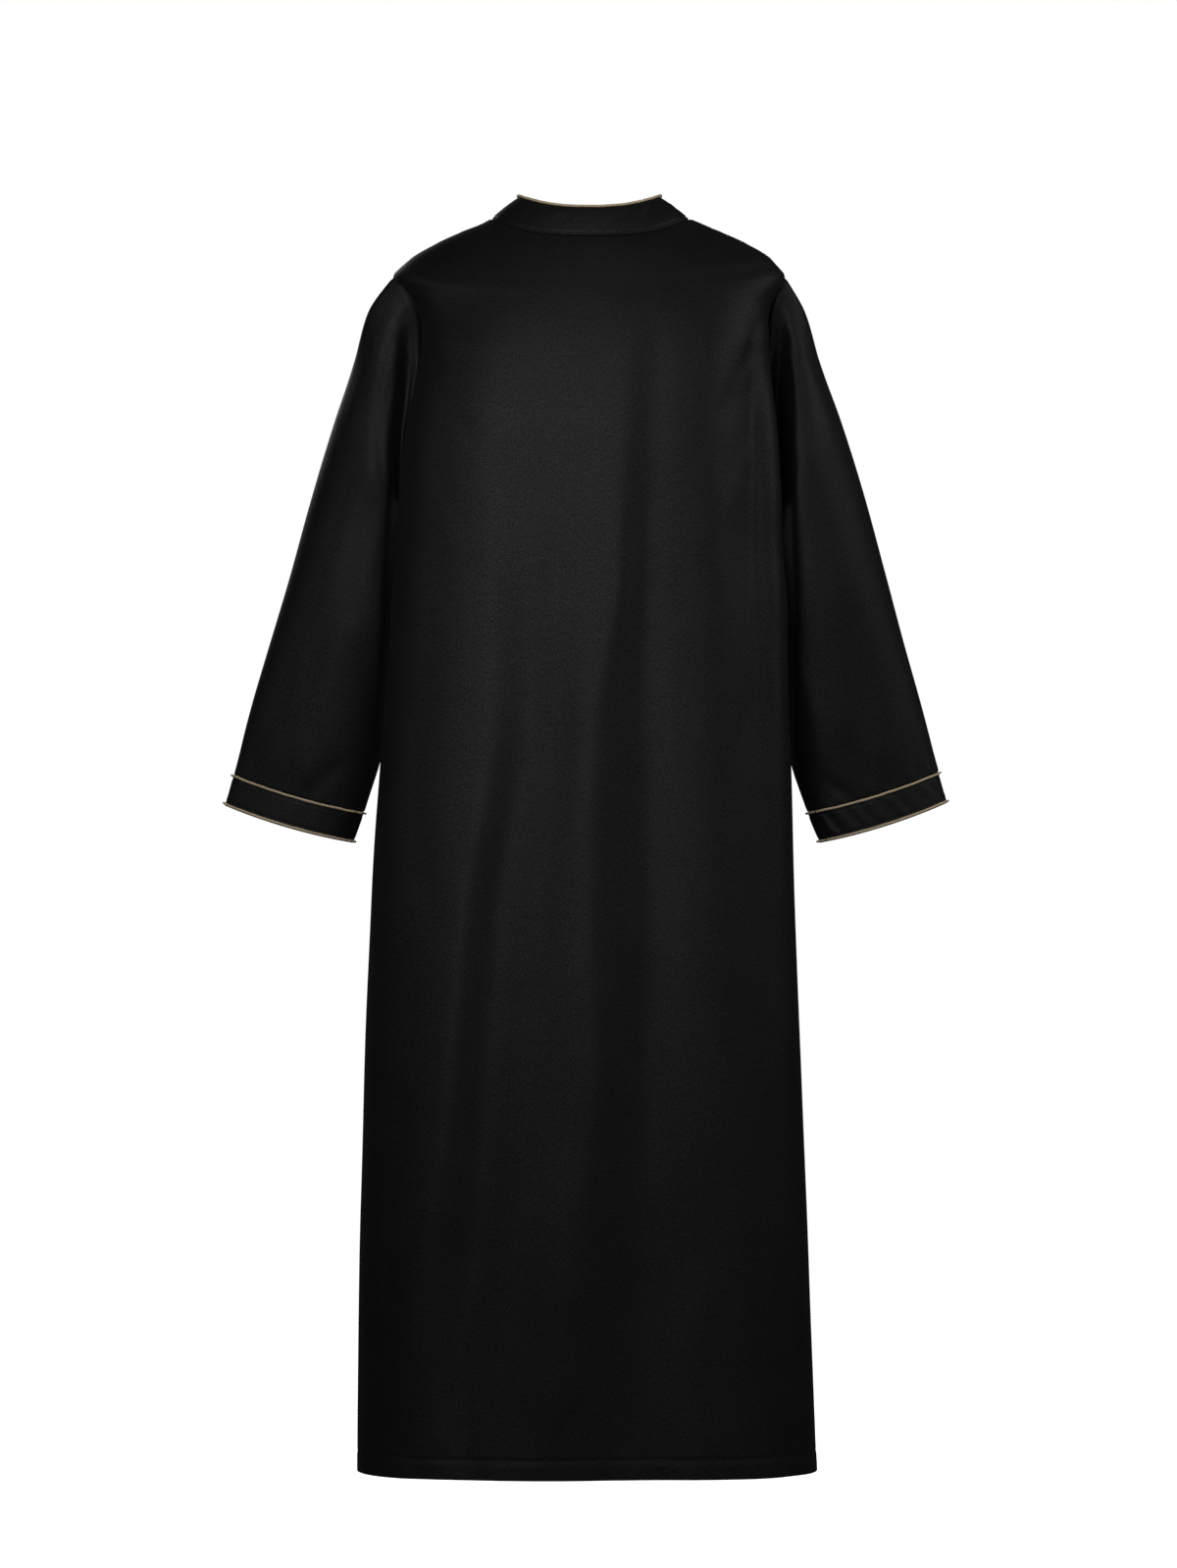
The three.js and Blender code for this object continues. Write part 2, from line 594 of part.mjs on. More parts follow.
function sleeve(isLeft) {
  const name = isLeft ? "left" : "right";
  const armhole = armholeSeam(isLeft);
  const { turns } = armhole;
  const surface = sleeveSurface(isLeft, armhole);
  const tube = tubeSheet(surface, sleevePaths(0, elbowStation), turns, isLeft);
  const lowerTube = tubeSheet(surface, sleevePaths(elbowStation, cuffStation), turns, isLeft);
  // Where the sleeve falls away from the body at the armhole, its wall turns in as the body's does,
  // so that the two edges face each other.
  tube.normals[0] = tube.normals[0].map((normal, i) => {
    const leaving = surface(nearPath, turns[i]).sub(tube.points[0][i]);
    return leaving.dot(armhole.normals[i]) < 0 ? armhole.normals[i] : normal;
  });
  const bandPaths = [cuffPath + seamGap / 2, (cuffPath + cuffEnd) / 2, cuffEnd];
  const band = tubeSheet(surface, bandPaths, turns, isLeft);
  const seamTurn = turns[underarmColumn];
  const halfGap = pipingEndGap / (sleeveStations[cuffStation].outX - sleeveStations[cuffStation].inX);
  const pipingTurns = [
    seamTurn + halfGap,
    ...turns.slice(underarmColumn + 1),
    ...turns.slice(0, underarmColumn),
    seamTurn - halfGap,
  ];
  const piping = (path) => {
    const line = tubeSheet(surface, [path], pipingTurns, isLeft);
    return pipingOn(line.points[0], line.normals[0]);
  };
  const clothWall = ({ points, normals }) => wall(points, moved(points, normals, -clothThick), true);
  return [
    named(`sleeve_${name}`, clothWall(tube), black),
    named(`sleeve_lower_${name}`, clothWall(lowerTube), black),
    named(`cuff_${name}`, wall(band.points, moved(band.points, band.normals, -bandThick), true), black),
    named(`cuff_piping_upper_${name}`, piping(cuffPath), gold),
    named(`cuff_piping_lower_${name}`, piping(cuffEnd - pipingRadius - facingPeek), gold),
  ];
}

// The collar stands on the neck seam and leans in to its top edge.
function collarPoint(share, angle) {
  const foot = bodyPoint(0, angle);
  const isBack = Math.sin(angle) >= 0;
  const x = collarTop.half * Math.cos(angle);
  const y = (isBack ? collarTop.back : collarTop.front) * Math.sin(angle);
  const drop = isBack ? collarTop.backDrop : collarTop.frontDrop;
  const z = collarTop.z - drop * (1 - Math.abs(Math.cos(angle)) ** collarDip);
  const belly = collarBelly * Math.sin(Math.PI * share);
  const point = foot.lerp(new THREE.Vector3(x + collarTop.shift, y, z), share);
  point.x += belly * Math.cos(angle);
  point.y += belly * Math.sin(angle);
  return point;
}

function collar() {
  const fronts = frontAngles(0);
  const middle = (fronts.length - 1) / 2;
  const halfOpening = collarOpening / 2 / collarTop.half;
  const angles = [
    -Math.PI / 2 + halfOpening,
    ...fronts.slice(1, middle).reverse(),
    ...backAngles(0),
    ...fronts.slice(middle + 1, -1).reverse().map((angle) => angle + 2 * Math.PI),
    1.5 * Math.PI - halfOpening,
  ];
  const normal = (share, angle) => outwardNormal(collarPoint, share, angle, nearShare, nearAngle).negate();
  const foot = facetGap / collarHeight;
  const shares = Array.from({ length: collarRows + 1 }, (_, i) => foot + ((1 - foot) * i) / collarRows);
  const points = shares.map((share) => angles.map((angle) => collarPoint(share, angle)));
  const normals = shares.map((share) => angles.map((angle) => normal(share, angle)));
  normals[0] = angles.map((angle) => bodyNormal(0, angle)); // the foot lies on the neck's edge
  const pipingShare = 1 - (pipingRadius + facingPeek) / collarHeight;
  return [
    named("collar", wall(points, moved(points, normals, -bandThick), false), black),
    named(
      "collar_piping",
      pipingOn(
        angles.map((angle) => collarPoint(pipingShare, angle)),
        angles.map((angle) => normal(pipingShare, angle)),
      ),
      gold,
    ),
  ];
}

const thobe = new THREE.Group();
thobe.name = "thobe";
thobe.add(...bodyPanels(), ...sleeve(true), ...sleeve(false), ...collar());

export default thobe;
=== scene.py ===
# A long black thobe in its worn, hollow shape: twill body and sleeves, standing collar, narrow
# cuffs, gold satin piping, half placket with dark buttons. Sizes are in millimetres until a mesh
# is made, and the frame is the part's own: +Z up, +X the garment's left, -Y its front.

import math
import bpy
import numpy as np
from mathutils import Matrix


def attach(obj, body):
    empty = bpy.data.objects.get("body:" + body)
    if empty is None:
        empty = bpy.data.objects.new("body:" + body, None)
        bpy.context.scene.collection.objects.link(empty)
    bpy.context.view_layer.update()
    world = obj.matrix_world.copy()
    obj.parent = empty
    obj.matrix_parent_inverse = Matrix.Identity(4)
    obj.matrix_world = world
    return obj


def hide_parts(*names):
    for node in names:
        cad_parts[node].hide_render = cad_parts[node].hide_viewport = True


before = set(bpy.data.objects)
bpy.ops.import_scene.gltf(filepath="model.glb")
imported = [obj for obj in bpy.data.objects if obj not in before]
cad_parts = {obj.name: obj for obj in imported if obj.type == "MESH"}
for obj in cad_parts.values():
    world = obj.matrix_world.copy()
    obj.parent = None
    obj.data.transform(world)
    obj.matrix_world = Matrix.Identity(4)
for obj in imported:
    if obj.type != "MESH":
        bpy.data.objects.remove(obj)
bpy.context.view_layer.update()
mm = 0.001


# Small tools for the shapes

def table(columns, *rows):
    values = np.array(rows, float)
    return {name: values[:, i] for i, name in enumerate(columns.split())}


def ease(share):
    t = np.clip(share, 0, 1)
    return t * t * (3 - 2 * t)


def bump(distance, width):
    return np.exp(-(distance / width) ** 2)


def softTangents(slopes):  # level where a curve turns, so that it never swings past a value
    before, after = slopes[:-1], slopes[1:]
    turning = before * after <= 0
    return np.where(turning, 0, 2 * before * after / np.where(turning, 1, before + after))


def cubicRise(t, rise, a, b):  # a and b: the rises that its tangents would give
    return t * (a + t * (3 * rise - 2 * a - b + t * (a + b - 2 * rise)))


def curveThrough(keys, values):  # smooth, and meets each value
    slopes = np.diff(values) / np.diff(keys)
    tangents = np.concatenate(([slopes[0]], softTangents(slopes), [slopes[-1]]))

    def at(key):
        k = np.clip(key, keys[0], keys[-1])
        i = np.clip(np.searchsorted(keys, k, side="right") - 1, 0, len(keys) - 2)
        span = keys[i + 1] - keys[i]
        rise = values[i + 1] - values[i]
        a, b = tangents[i] * span, tangents[i + 1] * span
        return values[i] + cubicRise((k - keys[i]) / span, rise, a, b)

    return at


def runningLength(points):  # along the last axis but one, from its start
    steps = np.linalg.norm(np.diff(points, axis=-2), axis=-1)
    start = np.zeros(steps.shape[:-1] + (1,))
    return np.concatenate((start, np.cumsum(steps, axis=-1)), axis=-1)


def rowsAt(places, run, rows):  # points or directions at places along a line
    return np.stack([np.interp(places, run, rows[:, i]) for i in range(3)], -1)


def unit(vectors):
    return vectors / np.maximum(np.linalg.norm(vectors, axis=-1, keepdims=True), 1e-9)


def unevenWave(seed, wavelength):  # a slow wave with no regular beat, about one high
    rng = np.random.default_rng(seed)
    lengths = wavelength * rng.uniform(0.62, 1.7, 5)
    phases = rng.uniform(0, 2 * math.pi, 5)
    return lambda s: sum(np.sin(2 * math.pi * s / w + p) for w, p in zip(lengths, phases)) / 3


def gridNormals(points, flip=False):
    down = np.gradient(points, axis=0)
    across = np.gradient(points, axis=1)
    normal = unit(np.cross(down, across))
    return -normal if flip else normal


def spaced(length, count, fine=(0, 0.7, 1.5, 2.6, 4.2, 6.8)):  # closer together near both ends
    start = np.array(fine)
    middle = np.linspace(fine[-1], length - fine[-1], count)[1:-1]
    return np.concatenate((start, middle, length - start[::-1]))


# The body, as rings down its side. They began as the rings of the solids, but the back is squarer
# and its upper depths are smoother, for the flat back that the photo shows.

bodyRings = table(
    "z half shift back front backDrop frontDrop square armBack armFront",
    [16.5, 111, -2, 56, 66, 24, 77, 2, 0, 0],
    [10, 125, -3.9, 60, 73, 24, 82, 2, 0, 0],
    [3, 142, -3, 64, 77, 24, 83, 2, 0, 0],
    [-8, 167, -3.3, 69.5, 82, 24, 82, 2, 0, 0],
    [-17, 184, -3.3, 73.5, 85, 24, 80, 2, 0, 0],
    [-26, 199, -2.9, 77, 88, 23, 77, 2, 0, 0],
    [-36, 209.5, -1.6, 80.5, 91, 22, 73, 2, 0, 0],
    [-49, 220, -0.6, 84.6, 94, 20, 67, 2.05, 0, 0],
    [-60, 213, -4, 87.7, 96, 18, 63, 2.15, 3, -10],
    [-71, 205, -5, 90.4, 99, 16, 58, 2.3, 3, -20],
    [-83, 198, -6, 93, 102, 14, 53, 2.5, 0, -31],
    [-103, 194, -7, 96.6, 105, 11, 46, 2.75, -7, -44],
    [-133, 194, -6, 100.6, 110, 7, 35, 3, -14, -57],
    [-172, 198, -3, 103.8, 115, 3, 23, 3, -18, -62],
    [-214, 203, 0, 105.5, 119, 0, 12, 3, -19, -58],
    [-252, 206, 1, 106, 121, 0, 5, 3, -19, -46],
    [-277, 208, 2, 105.8, 122, 0, 2, 3, -19, -33],
    [-290, 209, 2, 105.7, 122, 0, 0, 3, -19, -19],
    [-351, 212, 3, 105.3, 123, 0, 0, 3, -19, -19],
    [-410, 217, 3, 105, 124, 0, 0, 3, -19, -19],
    [-480, 220, 3.6, 105, 126, 0, 0, 3, -19, -19],
    [-582, 225.5, 4.3, 106, 128, 0, 0, 3, -19, -19],
    [-700, 231, 5, 109, 130, 0, 0, 3, -19, -19],
    [-836, 236, 5, 113, 133, 0, 0, 3, -19, -19],
    [-1055, 244, 3, 117, 136, 0, 0, 3, -19, -19],
    [-1275, 252, 2, 121, 139, 0, 0, 3, -19, -19],
    [-1383, 255.5, 1, 125, 140, 0, 0, 3, -19, -19],
)
shoulderRing = 7
armpitRing = 17
sidePath = runningLength(np.stack((bodyRings["half"], 0 * bodyRings["z"], bodyRings["z"]), -1))
ringCurves = {name: curveThrough(sidePath, values) for name, values in bodyRings.items()}
bodyEnd = sidePath[-1]

# Folds: ridge and trough lines that run down the cloth, from the garment's left to its right. They
# wander and open out as they fall, and the cloth swings softly from each one to the next.

def foldLine(*rows):
    line = table("z x high", *rows)
    return curveThrough(-line["z"], line["x"]), curveThrough(-line["z"], line["high"])


backLines = [
    foldLine(  # ridge near the left side
        [-60, 150, 0], [-380, 114, 2], [-550, 110, 4.5], [-750, 136, 8.6], [-940, 154, 10.2],
        [-1080, 175, 10], [-1200, 198, 8.4], [-1383, 226, 4],
    ),
    foldLine(  # left trough
        [-60, 90, 0], [-380, 62, -1.4], [-550, 63, -3.6], [-750, 90, -5.6], [-940, 104, -7.2],
        [-1080, 114, -7.8], [-1200, 125, -7], [-1383, 138, -1.5],
    ),
    foldLine(  # left brow of the middle ridge
        [-60, 40, 0], [-340, 36, 1], [-550, 32, 0], [-750, 52, -1.8], [-940, 66, -2.6],
        [-1200, 88, -2.6], [-1383, 108, 0],
    ),
    foldLine(  # its right brow, where the cloth drops steeply
        [-60, -30, 0], [-210, -38, 4.5], [-380, -36, 7.2], [-550, -10, 7.6], [-750, -2, 7],
        [-920, -9, 6.9], [-1080, 11, 6], [-1200, 24, 5], [-1383, 44, 2.4],
    ),
    foldLine(  # main trough
        [-60, -64, 0], [-210, -72, 0.6], [-460, -66, -5.8], [-620, -72, -9.2], [-760, -76, -10.8],
        [-940, -70, -12], [-1140, -70, -11.8], [-1383, -72, -7],
    ),
    foldLine(  # left brow of the right ridge
        [-60, -84, 0], [-210, -94, 2], [-380, -98, -1.4], [-550, -100, -3.8], [-750, -112, -5.2],
        [-940, -114, -5.6], [-1200, -150, -4], [-1383, -146, -2],
    ),
    foldLine(  # its right brow
        [-60, -120, 0], [-210, -126, 2.6], [-380, -140, 1.2], [-680, -152, -1.4], [-940, -164, -2.4],
        [-1200, -188, 0], [-1383, -202, 1],
    ),
    foldLine(  # right trough
        [-60, -170, 0], [-210, -184, -5], [-300, -186, -5.5], [-470, -190, -3], [-820, -200, -4],
        [-1383, -226, -1],
    ),
    foldLine(  # the folded edge at the right side
        [-60, -204, 0], [-150, -199, 9], [-300, -203, 13], [-480, -212, 11], [-750, -226, 6],
        [-1383, -250, 2],
    ),
]
frontLines = [
    foldLine([-60, 200, 0], [-300, 200, 0], [-750, 220, 0], [-1383, 244, 0]),
    foldLine(  # trough near the left side
        [-60, 160, 0], [-240, 160, -2], [-480, 166, -4], [-820, 176, -5.5], [-1383, 198, -4.5],
    ),
    foldLine(  # left ridge, from the chest
        [-60, 104, 0], [-200, 104, 2], [-330, 108, 4.5], [-560, 118, 6.5], [-800, 132, 8.5],
        [-1100, 146, 9], [-1383, 158, 6],
    ),
    foldLine(  # left trough
        [-60, 46, 0], [-300, 46, -0.6], [-420, 54, -3], [-560, 62, -5.5], [-820, 78, -8],
        [-1100, 92, -8.5], [-1383, 104, -5.5],
    ),
    foldLine(  # middle ridge, opens out below the placket
        [-60, 0, 0], [-400, 0, 0], [-520, 2, 4], [-700, 6, 7], [-950, -4, 9.5], [-1200, -14, 9],
        [-1383, -22, 6],
    ),
    foldLine(  # right trough
        [-60, -48, 0], [-300, -46, -0.6], [-430, -50, -3.5], [-640, -60, -7], [-900, -66, -8.5],
        [-1150, -84, -8], [-1383, -90, -5],
    ),
    foldLine(  # right ridge
        [-60, -98, 0], [-180, -98, 2.2], [-320, -102, 4.8], [-540, -112, 7], [-820, -126, 8.5],
        [-1100, -146, 8.5], [-1383, -164, 5.5],
    ),
    foldLine(  # trough near the right side
        [-60, -156, 0], [-260, -160, -2.4], [-500, -170, -4.6], [-860, -180, -5.5], [-1383, -210, -4],
    ),
    foldLine([-60, -202, 0], [-300, -202, 0], [-750, -222, 0], [-1383, -248, 0]),
]


def foldHeight(lines, x, z):  # level only where a line is a ridge or a trough
    places = np.stack([xAt(-z) for xAt, _ in lines])
    highs = np.stack([highAt(-z) for _, highAt in lines])
    spans, rises = np.diff(places, axis=0), np.diff(highs, axis=0)
    slopes = rises / spans
    level = np.zeros_like(slopes[:1])
    tangents = np.concatenate((level, softTangents(slopes), level))
    height = highs[0]
    for i, (span, rise) in enumerate(zip(spans, rises)):
        t = np.clip((x - places[i]) / span, 0, 1)
        height = height + cubicRise(t, rise, tangents[i] * span, tangents[i + 1] * span)
    return height


def bodyPoint(path, angle):
    ring = {name: curve(np.clip(path, 0, bodyEnd)) for name, curve in ringCurves.items()}
    across, along = np.cos(angle), np.sin(angle)
    isBack = along >= 0
    square = np.where(isBack, ring["square"], 2)
    depth = np.where(isBack, ring["back"], ring["front"])
    x = ring["half"] * np.sign(across) * np.abs(across) ** (2 / square)
    y = depth * np.sign(along) * np.abs(along) ** (2 / square)
    off = np.abs(x / ring["half"])
    z = ring["z"] - np.where(isBack, ring["backDrop"], ring["frontDrop"]) * (1 - off ** 3)
    outX = np.sign(x) * off ** (square - 1) / ring["half"]
    outY = np.sign(y) * np.abs(y / depth) ** (square - 1) / depth
    length = np.hypot(outX, outY)
    lift = np.where(isBack, foldHeight(backLines, x, z), foldHeight(frontLines, x, z))
    lift = lift * ease(np.abs(y) / 48)
    return np.stack((x + ring["shift"] + outX / length * lift, y + outY / length * lift, z), -1)


def bodyNormal(path, angle):
    down = bodyPoint(path + 1.5, angle) - bodyPoint(path - 1.5, angle)
    return unit(np.cross(down, bodyPoint(path, angle + 0.02) - bodyPoint(path, angle - 0.02)))


def angleAtDepth(path, y, isLeft):
    square = np.where(y >= 0, ringCurves["square"](path), 2)
    depth = np.where(y >= 0, ringCurves["back"](path), ringCurves["front"](path))
    angle = np.sign(y) * np.arcsin((np.abs(y) / depth) ** (square / 2))
    return angle if isLeft else math.pi - angle


# Creases: short soft lines of their own, from (a, b) to (toA, toB) on a piece

def creaseHeight(creases, a, b):
    height = 0
    for startA, startB, endA, endB, width, full in zip(*creases.values()):
        along = np.array((endA - startA, endB - startB))
        length = np.hypot(*along)
        share = ((a - startA) * along[0] + (b - startB) * along[1]) / length ** 2
        off = ((a - startA) * along[1] - (b - startB) * along[0]) / length
        off = off + 0.06 * length * np.sin(math.pi * np.clip(share, 0, 1))  # none is quite straight
        ends = ease((share + 0.25) / 0.45) * ease((1.25 - share) / 0.45)
        height = height + full * np.exp(-(off / width) ** 2) * ends
    return height


# Meshes from grids of points

def addObject(name, data):
    added = bpy.data.objects.new(name, data)
    bpy.context.scene.collection.objects.link(added)
    return added


def meshFrom(name, points, faces, uvs=None):
    mesh = bpy.data.meshes.new(name)
    mesh.from_pydata((points.reshape(-1, 3) * mm).tolist(), [], faces.tolist())
    if uvs is not None:
        layer = mesh.uv_layers.new(name="cloth")  # metres along the cloth's own threads
        corners = np.empty(len(mesh.loops), int)
        mesh.loops.foreach_get("vertex_index", corners)
        layer.data.foreach_set("uv", (uvs.reshape(-1, 2)[corners] * mm).ravel())
    mesh.validate()
    piece = addObject(name, mesh)
    mesh.polygons.foreach_set("use_smooth", np.ones(len(mesh.polygons), bool))
    return piece


def gridFaces(rows, columns, isRing=False):
    row, column = np.meshgrid(np.arange(rows - 1), np.arange(columns - (not isRing)), indexing="ij")
    nextColumn = (column + 1) % columns
    corners = (row * columns + column, (row + 1) * columns + column,
               (row + 1) * columns + nextColumn, row * columns + nextColumn)
    return np.stack(corners, -1).reshape(-1, 4)


def clothUv(points):  # across each row from its middle, and down each column
    across = runningLength(points)
    across = across - across[:, -1:] / 2
    down = runningLength(np.swapaxes(points, 0, 1)).T
    return np.stack((across, np.broadcast_to(down.mean(1, keepdims=True), across.shape)), -1)


def thicken(piece, thickness):  # a wall of cloth behind the face that shows
    solid = piece.modifiers.new("thickness", "SOLIDIFY")
    solid.thickness = thickness * mm
    solid.offset = -1
    bpy.context.view_layer.objects.active = piece
    with bpy.context.temp_override(object=piece, active_object=piece, selected_objects=[piece]):
        bpy.ops.object.modifier_apply(modifier=solid.name)


def dress(piece, material, slot, *nodes):
    piece.data.materials.append(material)
    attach(piece, "root")
    if nodes:
        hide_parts(*nodes)


# Materials

def linear(hexColour):  # sRGB hex to the linear colour that the shader wants
    parts = [int(hexColour[i:i + 2], 16) / 255 for i in (1, 3, 5)]
    return [c / 12.92 if c <= 0.04045 else ((c + 0.055) / 1.055) ** 2.4 for c in parts] + [1]


def addNode(tree, kind, settings=None, inputs=None, links=None):
    node = tree.nodes.new(kind)
    for name, value in (settings or {}).items():
        setattr(node, name, value)
    for name, value in (inputs or {}).items():
        node.inputs[name].default_value = value
    for name, source in (links or {}).items():
        tree.links.new(source, node.inputs[name])
    return node


def newMaterial(name, settings):
    material = bpy.data.materials.new(name)
    material.use_nodes = True
    shader = material.node_tree.nodes["Principled BSDF"]
    for socket, value in settings.items():
        shader.inputs[socket].default_value = value
    return material, material.node_tree, shader


def inObject(tree):
    return addNode(tree, "ShaderNodeTexCoord").outputs["Object"]


def noise(tree, place, grain, detail, roughness=0.5):  # grain in millimetres
    values = {"Scale": 1 / (grain * mm), "Detail": detail, "Roughness": roughness}
    return addNode(tree, "ShaderNodeTexNoise", {}, values, {"Vector": place}).outputs["Fac"]


def colourBetween(tree, shader, dark, light, share):
    colour = addNode(tree, "ShaderNodeMix", {"data_type": "RGBA"},
                     {6: linear(dark), 7: linear(light)}, {"Factor": share})
    tree.links.new(colour.outputs[2], shader.inputs["Base Color"])


def reliefFrom(tree, shader, height, strength, deep):  # deep in millimetres
    relief = addNode(tree, "ShaderNodeBump", {}, {"Strength": strength, "Distance": deep * mm},
                     {"Height": height})
    tree.links.new(relief.outputs["Normal"], shader.inputs["Normal"])


# Polyester and viscose twill, piece dyed black: fine diagonal ribs, a dull soft surface with a
# faint grey bloom at grazing light, and a few threads that catch the light. The real rib is
# 0.5 mm; it is drawn 1.1 mm wide so that it shows at all.
twill = dict(base="#111112", bloom="#1e1e1f", rib=1.1, ribTurn=63, slub=2.0, cloud=70, roughness=0.52)


def blackTwill():
    material, tree, shader = newMaterial("black twill", {
        "Roughness": twill["roughness"], "IOR": 1.5,
        "Sheen Weight": 0.04, "Sheen Roughness": 0.5, "Sheen Tint": linear("#8e8e92")})
    place = addNode(tree, "ShaderNodeUVMap", {"uv_map": "cloth"}).outputs["UV"]
    diagonal = addNode(tree, "ShaderNodeMapping", {},
                       {"Rotation": (0, 0, math.radians(twill["ribTurn"]))}, {"Vector": place})
    ribs = addNode(tree, "ShaderNodeTexWave", {"wave_type": "BANDS", "bands_direction": "X"},
                   {"Scale": 1 / (twill["rib"] * mm) / 20 * math.pi, "Distortion": 1.2, "Detail": 2,
                    "Detail Scale": 2.0}, {"Vector": diagonal.outputs["Vector"]})
    warp = addNode(tree, "ShaderNodeMapping", {}, {"Scale": (1, 0.6, 1)}, {"Vector": place})
    slubs = noise(tree, warp.outputs["Vector"], twill["slub"], 5, 0.72)
    clouds = noise(tree, place, twill["cloud"], 3)
    shade = addNode(tree, "ShaderNodeMix", {"data_type": "FLOAT"}, {"Factor": 0.4},
                    {2: slubs, 3: clouds})
    spread = addNode(tree, "ShaderNodeMapRange", {}, {"From Min": 0.3, "From Max": 0.7},
                     {"Value": shade.outputs[0]})
    colourBetween(tree, shader, twill["base"], twill["bloom"], spread.outputs["Result"])
    glint = addNode(tree, "ShaderNodeMapRange", {}, {"From Min": 0.34, "From Max": 0.68,
                    "To Min": 0.16, "To Max": 0.42}, {"Value": slubs})
    tree.links.new(glint.outputs["Result"], shader.inputs["Specular IOR Level"])
    height = addNode(tree, "ShaderNodeMath", {"operation": "MULTIPLY_ADD"}, {1: 0.5},
                     {0: ribs.outputs["Fac"], 2: slubs})
    reliefFrom(tree, shader, height.outputs["Value"], 0.35, 0.35)
    return material


# Satin bias tape round a cord: floats of bright thread give a sharp silky line of light along
# it. The fine wraps are in its mesh.
satin = dict(base="#fdecd0", deep="#dcb587", roughness=0.32)


def goldSatin():
    material, tree, shader = newMaterial("gold satin piping", {
        "Roughness": satin["roughness"], "Specular IOR Level": 0.6, "IOR": 1.5,
        "Sheen Weight": 0.25, "Sheen Roughness": 0.3, "Sheen Tint": linear("#fff1dc")})
    threads = noise(tree, inObject(tree), 1.6, 4)
    colourBetween(tree, shader, satin["deep"], satin["base"], threads)
    reliefFrom(tree, shader, threads, 0.3, 0.15)
    return material


# Spun polyester sewing thread, dyed black: a little brighter than the cloth because it is tight.
def blackThread():
    material, tree, shader = newMaterial("black sewing thread", {
        "Base Color": linear("#232324"), "Roughness": 0.5, "Specular IOR Level": 0.4, "IOR": 1.5})
    reliefFrom(tree, shader, noise(tree, inObject(tree), 0.5, 2), 0.4, 0.1)
    return material


# Cast polyester resin, tumbled to a soft polish: near black, with a faint cloud in its depth.
def resin():
    material, tree, shader = newMaterial("dark resin button", {
        "Roughness": 0.28, "Specular IOR Level": 0.5, "IOR": 1.55, "Coat Weight": 0.15})
    colourBetween(tree, shader, "#0c0c0d", "#232325", noise(tree, inObject(tree), 4, 3))
    return material


twillMaterial = blackTwill()
satinMaterial = goldSatin()
threadMaterial = blackThread()
resinMaterial = resin()
print("materials made")


# Stitches: each one a short thread, pulled in at both ends

def stitchLine(name, line, normals, spacing=3.0, length=2.2, width=0.5):
    run = runningLength(line)
    places = np.arange(spacing, run[-1] - spacing / 2, spacing)
    centres = rowsAt(places, run, line)
    ups = unit(rowsAt(places, run, normals))
    ahead = unit(rowsAt(places + 0.5, run, line) - centres)
    side = unit(np.cross(ups, ahead))
    stations = np.array((-0.5, -0.3, 0, 0.3, 0.5)) * length
    heights = np.array((-0.35, 0.05, 0.15, 0.05, -0.35))
    widths = np.array((0.35, 0.9, 1, 0.9, 0.35)) * width / 2
    turns = np.arange(6) / 6 * 2 * math.pi
    ring = (ups[:, None, None] * (heights[:, None, None] + widths[:, None, None] * 0.8
            * np.cos(turns)[:, None]) + side[:, None, None] * widths[:, None, None]
            * np.sin(turns)[:, None] + ahead[:, None, None] * stations[:, None, None])
    points = centres[:, None, None] + ring
    body = gridFaces(5, 6, True)
    caps = [[0, 1, 2, 3], [3, 4, 5, 0], [24, 27, 26, 25], [24, 29, 28, 27]]
    each = np.concatenate((body, np.array(caps)))
    faces = (each[None] + 30 * np.arange(len(places))[:, None, None]).reshape(-1, 4)
    dress(meshFrom(name, points, faces), threadMaterial, "black_twill")


# The collar stands on the body's neck edge and leans in to its top edge

collarTop = dict(half=77, shift=-1, back=44, front=50, z=42.4, backDrop=15, frontDrop=72)
collar = dict(height=36, belly=1.3, opening=1.5, columns=300, rows=26, thickness=2.1, stitchUp=3.2,
              stitchDown=4.6, stitchSpacing=2.8)


def collarPoint(share, angle):
    foot = bodyPoint(0 * share, angle)
    isBack = np.sin(angle) >= 0
    depth = np.where(isBack, collarTop["back"], collarTop["front"])
    drop = np.where(isBack, collarTop["backDrop"], collarTop["frontDrop"])
    z = collarTop["z"] - drop * (1 - np.abs(np.cos(angle)) ** 2.4)
    x = collarTop["half"] * np.cos(angle) + collarTop["shift"]
    top = np.stack((x, depth * np.sin(angle), z), -1)
    belly = (collar["belly"] * np.sin(math.pi * share))[..., None]
    bow = np.stack((np.cos(angle), np.sin(angle), 0 * angle), -1) * belly
    return foot + (top - foot) * share[..., None] + bow


def collarNormal(share, angle):
    up = collarPoint(share + 0.03, angle) - collarPoint(share - 0.03, angle)
    return unit(np.cross(collarPoint(share, angle + 0.02) - collarPoint(share, angle - 0.02), up))


# Body panels

